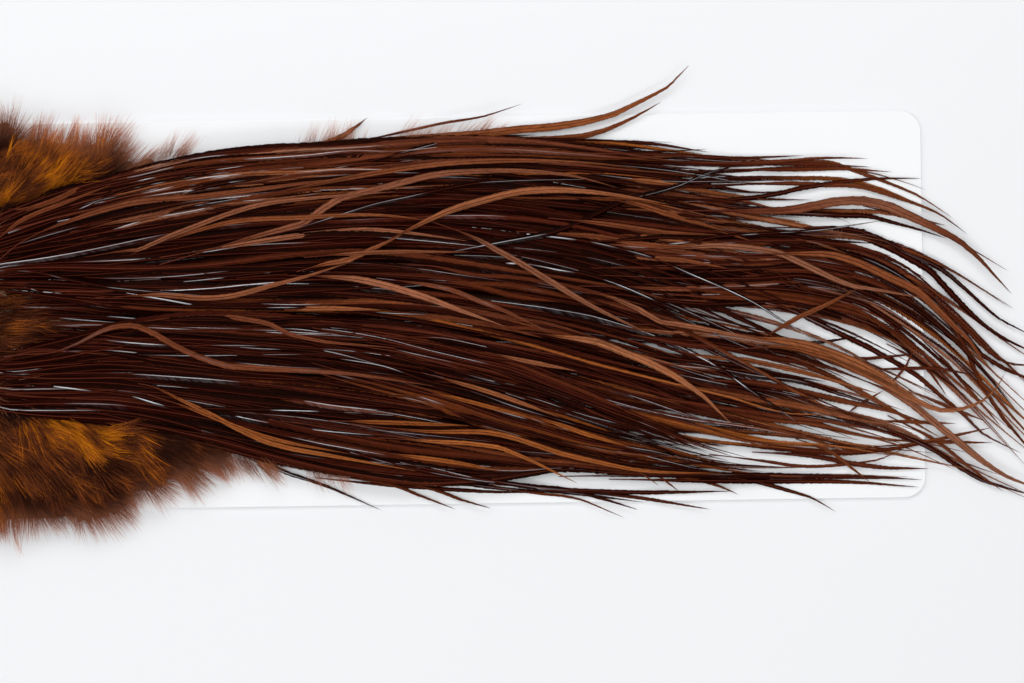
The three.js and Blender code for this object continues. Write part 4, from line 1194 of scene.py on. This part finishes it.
def mound(names, side):
    pivot, cell = down["pivots"][side], down["cell"]
    surface = surfaceOf(names + ["skin"])
    boxes = [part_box(name) for name in names]
    low = [min(b[0][i] for b in boxes) / mm - down["margin"] for i in (0, 1)]
    high = [max(b[1][i] for b in boxes) / mm + down["margin"] for i in (0, 1)]
    xs, ys = (np.arange(a, b, cell) for a, b in zip(low, high))
    tops = np.zeros((len(xs), len(ys)))
    covered = tops.copy()
    for i, x in enumerate(xs):
        for j, y in enumerate(ys):
            own, lock = topOf(surface, x * mm, y * mm), topOf(lockSurface, x * mm, y * mm)
            covered[i, j] = lock is not None
            tops[i, j] = max(own / mm if own else 0, lock / mm - down["under"] if lock else 0)
    tops[[0, 1, -2, -1]] = 0
    tops[:, [0, 1, -2, -1]] = 0
    found = tops > 0
    # the body's outline
    grown = cellDistance(~found) <= down["closing"]
    inside = cellDistance(grown) > down["closing"] + down["shrink"]
    size, scale = down["wobble"]
    wobble = np.array([noise.noise(Vector((x / scale, 0, len(names)))) for x in xs]) * size
    inside &= np.abs(ys)[None, :] < (np.interp(xs, *zip(*down["outline"][side])) + wobble)[:, None]
    inside &= np.abs(ys)[None, :] > down["inner"]
    passes = down["smearing"]
    level = smear(inside * 1.0, passes["outline"])
    inside = level > 0.5
    # its rim follows the outline between the cells
    slopeX, slopeY = np.gradient(level)
    steep = np.hypot(slopeX, slopeY) + 1e-6
    gap = cellDistance(inside)
    outward = np.clip((level - 0.5) / steep, 0, 1.2) * (gap < 1.1) * cell
    X, Y = np.meshgrid(xs, ys, indexing="ij")
    X, Y = X - slopeX / steep * outward, Y - slopeY / steep * outward
    # the hairs flow from the pivot and turn outwards at the rim
    soft = smear(gap, passes["flow"])
    outX, outY = -np.gradient(soft, axis=0), -np.gradient(soft, axis=1)
    away, angle = np.hypot(X - pivot[0], Y - pivot[1]), np.arctan2(Y - pivot[1], X - pivot[0])
    nearRim = np.clip(1 - gap / down["rim"], 0, 1)
    flowX = (X - pivot[0]) / away + outX * nearRim * down["outturn"]
    flowY = (Y - pivot[1]) / away + outY * nearRim * down["outturn"]
    size, scale = down["swirl"]
    swirl = [size * noise.noise(Vector((x / scale, y / scale, 9))) for x, y in zip(X.ravel(), Y.ravel())]
    swirl = np.array(swirl).reshape(X.shape)
    cosine, sine = np.cos(swirl), np.sin(swirl)
    flowX, flowY = flowX * cosine - flowY * sine, flowX * sine + flowY * cosine
    bumps = np.array([noise.noise(Vector((a * 9, r / 16, 0))) + 0.5 * noise.noise(Vector((a * 22, r / 8, 5)))
                      for a, r in zip(angle.ravel(), away.ravel())]).reshape(X.shape)
    weight = np.maximum(smear(found * 1.0, passes["height"]), 0.05)
    filled = smear(np.where(found, tops, 0), passes["height"]) / weight
    edge = np.clip(gap / down["edge"], 0, 1)
    rise = np.sqrt(edge * (2 - edge))
    floorHeight = cardTop / mm + down["floor"]
    Z = floorHeight + (filled - floorHeight - down["sink"]) * rise + bumps * down["puff"] * rise
    free = 1 - down["covered"] * covered
    return X, Y, np.maximum(Z, floorHeight), inside, flowX, flowY, nearRim, free


def tuft(x, y, radiusX, radiusY, height, flow, rim):
    xs, ys = (np.arange(c - r - 1, c + r + 1.01, 1.0) for c, r in ((x, radiusX), (y, radiusY)))
    X, Y = np.meshgrid(xs, ys, indexing="ij")
    far = np.hypot((X - x) / radiusX, (Y - y) / radiusY)
    Z = cardTop / mm + 0.2 + (height - 1) * np.sqrt(np.clip(1 - far, 0, 1))
    ones = np.ones(X.shape)
    return X, Y, Z, far < 1, ones * flow[0], ones * flow[1], ones * rim, ones


def bodyMesh(patches, hairLength):
    points, faces, columns = [], [], {"flow": [], "tone": [], "hairLength": [], "rim": []}
    for X, Y, Z, inside, flowX, flowY, rim, free in patches:
        numbers = -np.ones(X.shape, int)
        numbers[inside] = np.arange(inside.sum()) + len(points)
        points += (np.stack([X[inside], Y[inside], Z[inside]], 1) * mm).tolist()
        corners = [numbers[:-1, :-1], numbers[1:, :-1], numbers[1:, 1:], numbers[:-1, 1:]]
        corners = np.stack(corners, -1).reshape(-1, 4)
        faces += corners[(corners >= 0).all(1)].tolist()
        length = (hairLength[0] + (hairLength[1] - hairLength[0]) * rim[inside]) * free[inside] * mm
        columns["flow"].append(np.stack([flowX[inside], flowY[inside], 0 * X[inside]], 1))
        columns["tone"].append(downTone(X[inside], Y[inside]))
        columns["rim"].append(rim[inside])
        columns["hairLength"].append(length)
    mesh = bpy.data.meshes.new("body")
    mesh.from_pydata(points, [], faces)
    for name, parts in columns.items():
        kind, field = ("FLOAT_VECTOR", "vector") if name == "flow" else ("FLOAT", "value")
        data = mesh.attributes.new(name, kind, "POINT").data
        data.foreach_set(field, np.concatenate(parts).ravel().astype(np.float32))
    return addObject("body", mesh)


def addHairMap(mesh):
    index, reach, side = (readAttribute(mesh, name) for name in ("hairIndex", "reach", "side"))
    body = readAttribute(mesh, "isBody") if "isBody" in mesh.attributes else np.zeros(len(mesh.vertices))
    columns = int(math.ceil(math.sqrt(index.max() + 1)))
    points = np.zeros(len(mesh.vertices) * 3)
    mesh.vertices.foreach_get("co", points)
    points = points.reshape(-1, 3)
    low, high = points.min(0), points.max(0)
    u = (index % columns + 0.5 + 0.7 * side) / columns
    v = (index // columns + 0.12 + 0.76 * reach) / columns * 0.8
    # the body takes the strip above the hairs
    bodyU = (points[:, 0] - low[0]) / (high[0] - low[0])
    bodyV = 0.81 + 0.18 * (points[:, 1] - low[1]) / (high[1] - low[1])
    addBakeMap(mesh, np.where(body > 0.5, bodyU, u), np.where(body > 0.5, bodyV, v))


tufts = [  # centre, radii, height in mm, flow, how much of a rim it is
    (-113, -3.5, 12, 12, 5.8, (1.0, 0.05), 0.0), (-101, -3, 9, 5, 3.4, (1.0, 0.0), 0.0),
    (-57, 43.5, 5, 3, 1.6, (0.6, 0.9), 0.9),
    (-143, 1, 7, 20, 8.0, (1.0, 0.0), 0.1), (-146, 1, 5, 19, 7.5, (-0.6, 0.0), 0.1),
    (-13, 45.5, 10, 2.4, 1.5, (0.35, 1.0), 1.0), (13, 47.2, 9, 2.5, 1.4, (0.7, 0.8), 1.0),
    (28, 49, 8, 2, 1.2, (0.8, 0.6), 1.0),
    (-16, -41, 6, 4, 1.5, (0.5, -1.0), 0.6), (-35, -39, 7, 4.5, 2.0, (0.8, -1.0), 0.5),
]
tuftHair = (8.0, 7.0)
tuftInputs = {"Density": 7.0e6, "Hair Width": 0.012, "Lift": 0.4, "Bare Hair": True}


def buildDown(tree, material):
    jobs = []
    for side in ("upper", "lower"):
        names = [n for n in plumeNames if f"_{side}_" in n]
        jobs.append((f"{side}_side_plumes", [mound(names, side)], down["hair"], {"Seed": len(names)}, names))
    jobs.append(("loose_down", [tuft(*row) for row in tufts], tuftHair, tuftInputs, []))
    for name, patches, length, inputs, names in jobs:
        piece = bake(bodyMesh(patches, length), tree, {"Material": material, **inputs}, name)
        addHairMap(piece.data)
        finishPiece(piece, names)


# Skin

skin = {
    "colours": [(0.3, (0.5, 0.3, 0.14)), (0.5, (0.68, 0.48, 0.27)), (0.7, (0.8, 0.64, 0.42))],
    "bumps": ((160, 0.3), (500, 0.1)),  # noise a metre, height in mm
    "sink": 0.5,
    "noise": {"colour": 90.0, "grain": 700.0},
}


def buildSkin():
    mesh = bmesh.new()
    mesh.from_mesh(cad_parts["skin"].data)
    bmesh.ops.remove_doubles(mesh, verts=mesh.verts, dist=1e-6)
    bmesh.ops.subdivide_edges(mesh, edges=mesh.edges, cuts=2, use_grid_fill=True)
    mesh.normal_update()
    for vert in mesh.verts:
        if vert.co.z > skinTop - 0.5 * mm:
            bumps = sum(noise.noise(vert.co * scale) * size for scale, size in skin["bumps"])
            vert.co.z += (bumps - skin["sink"]) * mm
    material, tree, shader = newMaterial("driedHide")
    link(shader, Base_Color=ramp(noiseOn(tree, skin["noise"]["colour"], 6.0), skin["colours"]),
         Normal=bumpOf(noiseOn(tree, skin["noise"]["grain"], 4.0), 0.5, 0.0004))
    pieceOf(mesh, "dried_skin", material, ["skin"])


# Short front feathers over the quills

front = {
    "rows": [-107, -112, -117, -122, -127, -132],  # X of the tips of each row
    "step": 4.2,
    "length": (21, 27),
    "width": (7.5, 10.0),
    "tone": (0.05, 0.5),
    "reach": 20.0,  # to each side, in the first row
    "reachStep": 1.1,
    "turn": 0.55,  # radians, at the sides
    "arch": 0.4,
    "rootX": -150.5,
    "rise": 0.3,  # of each row
    "inputs": {"Barb Spacing": 0.0005, "Slant": 0.9, "Droop": 0.14, "Barb Width": 0.3, "Seed": 11,
               "Raggedness": 0.05},
}


def buildFront(tree, material):
    rng = random.Random(4)
    feathers = []
    for row, tipX in enumerate(front["rows"]):
        reach = front["reach"] - row * front["reachStep"]
        count = int(2 * reach / front["step"])
        for number in range(count + 1):
            spread = -1 + 2 * (number + rng.uniform(-0.3, 0.3)) / count
            angle = spread * front["turn"] + rng.uniform(-0.14, 0.14)
            length = rng.uniform(*front["length"]) * (1 - 0.15 * abs(spread))
            tip = np.array([tipX + rng.uniform(-1.5, 1.5) - 6 * spread * spread, 1 + reach * spread])
            root = tip - length * np.array([math.cos(angle), math.sin(angle)])
            root[0] = max(root[0], front["rootX"] + abs(spread) * 4)
            s = np.linspace(0, 1, 9)
            bow = np.sin(math.pi * s)
            flat = root + (tip - root) * s[:, None]
            flat[:, 1] += rng.uniform(-1, 1) * bow
            flat = flat * mm
            under = np.maximum(blur(np.array([heightAt(x, y) for x, y in flat]), 4), skinTop)
            z = under + front["rise"] * (1 + row) * mm * smoothstep(0, 0.5, s) + front["arch"] * mm * bow
            width, tone = rng.uniform(*front["width"]), rng.uniform(*front["tone"])
            feathers.append(feather(np.column_stack([flat, z]), width, tone, rng, taper=0.32, root=0.4,
                                    base=0.25, twist=0.05, quill=0.2))
    featherPiece("front_cover_feathers", feathers, tree, material, "front_feather", frontNames,
                 **front["inputs"])


addCamera()
addLights()
addFloor()
buildCard()
print("stage and card done")
featherTree = buildFeatherTree()
hackleFinish = hackleMaterial()
buildLocks(featherTree, hackleFinish)
buildSingles(featherTree, hackleFinish)
buildFront(featherTree, hackleFinish)
print("feathers done")
buildDown(buildDownTree(), downMaterial())
buildSkin()
print("down and skin done")
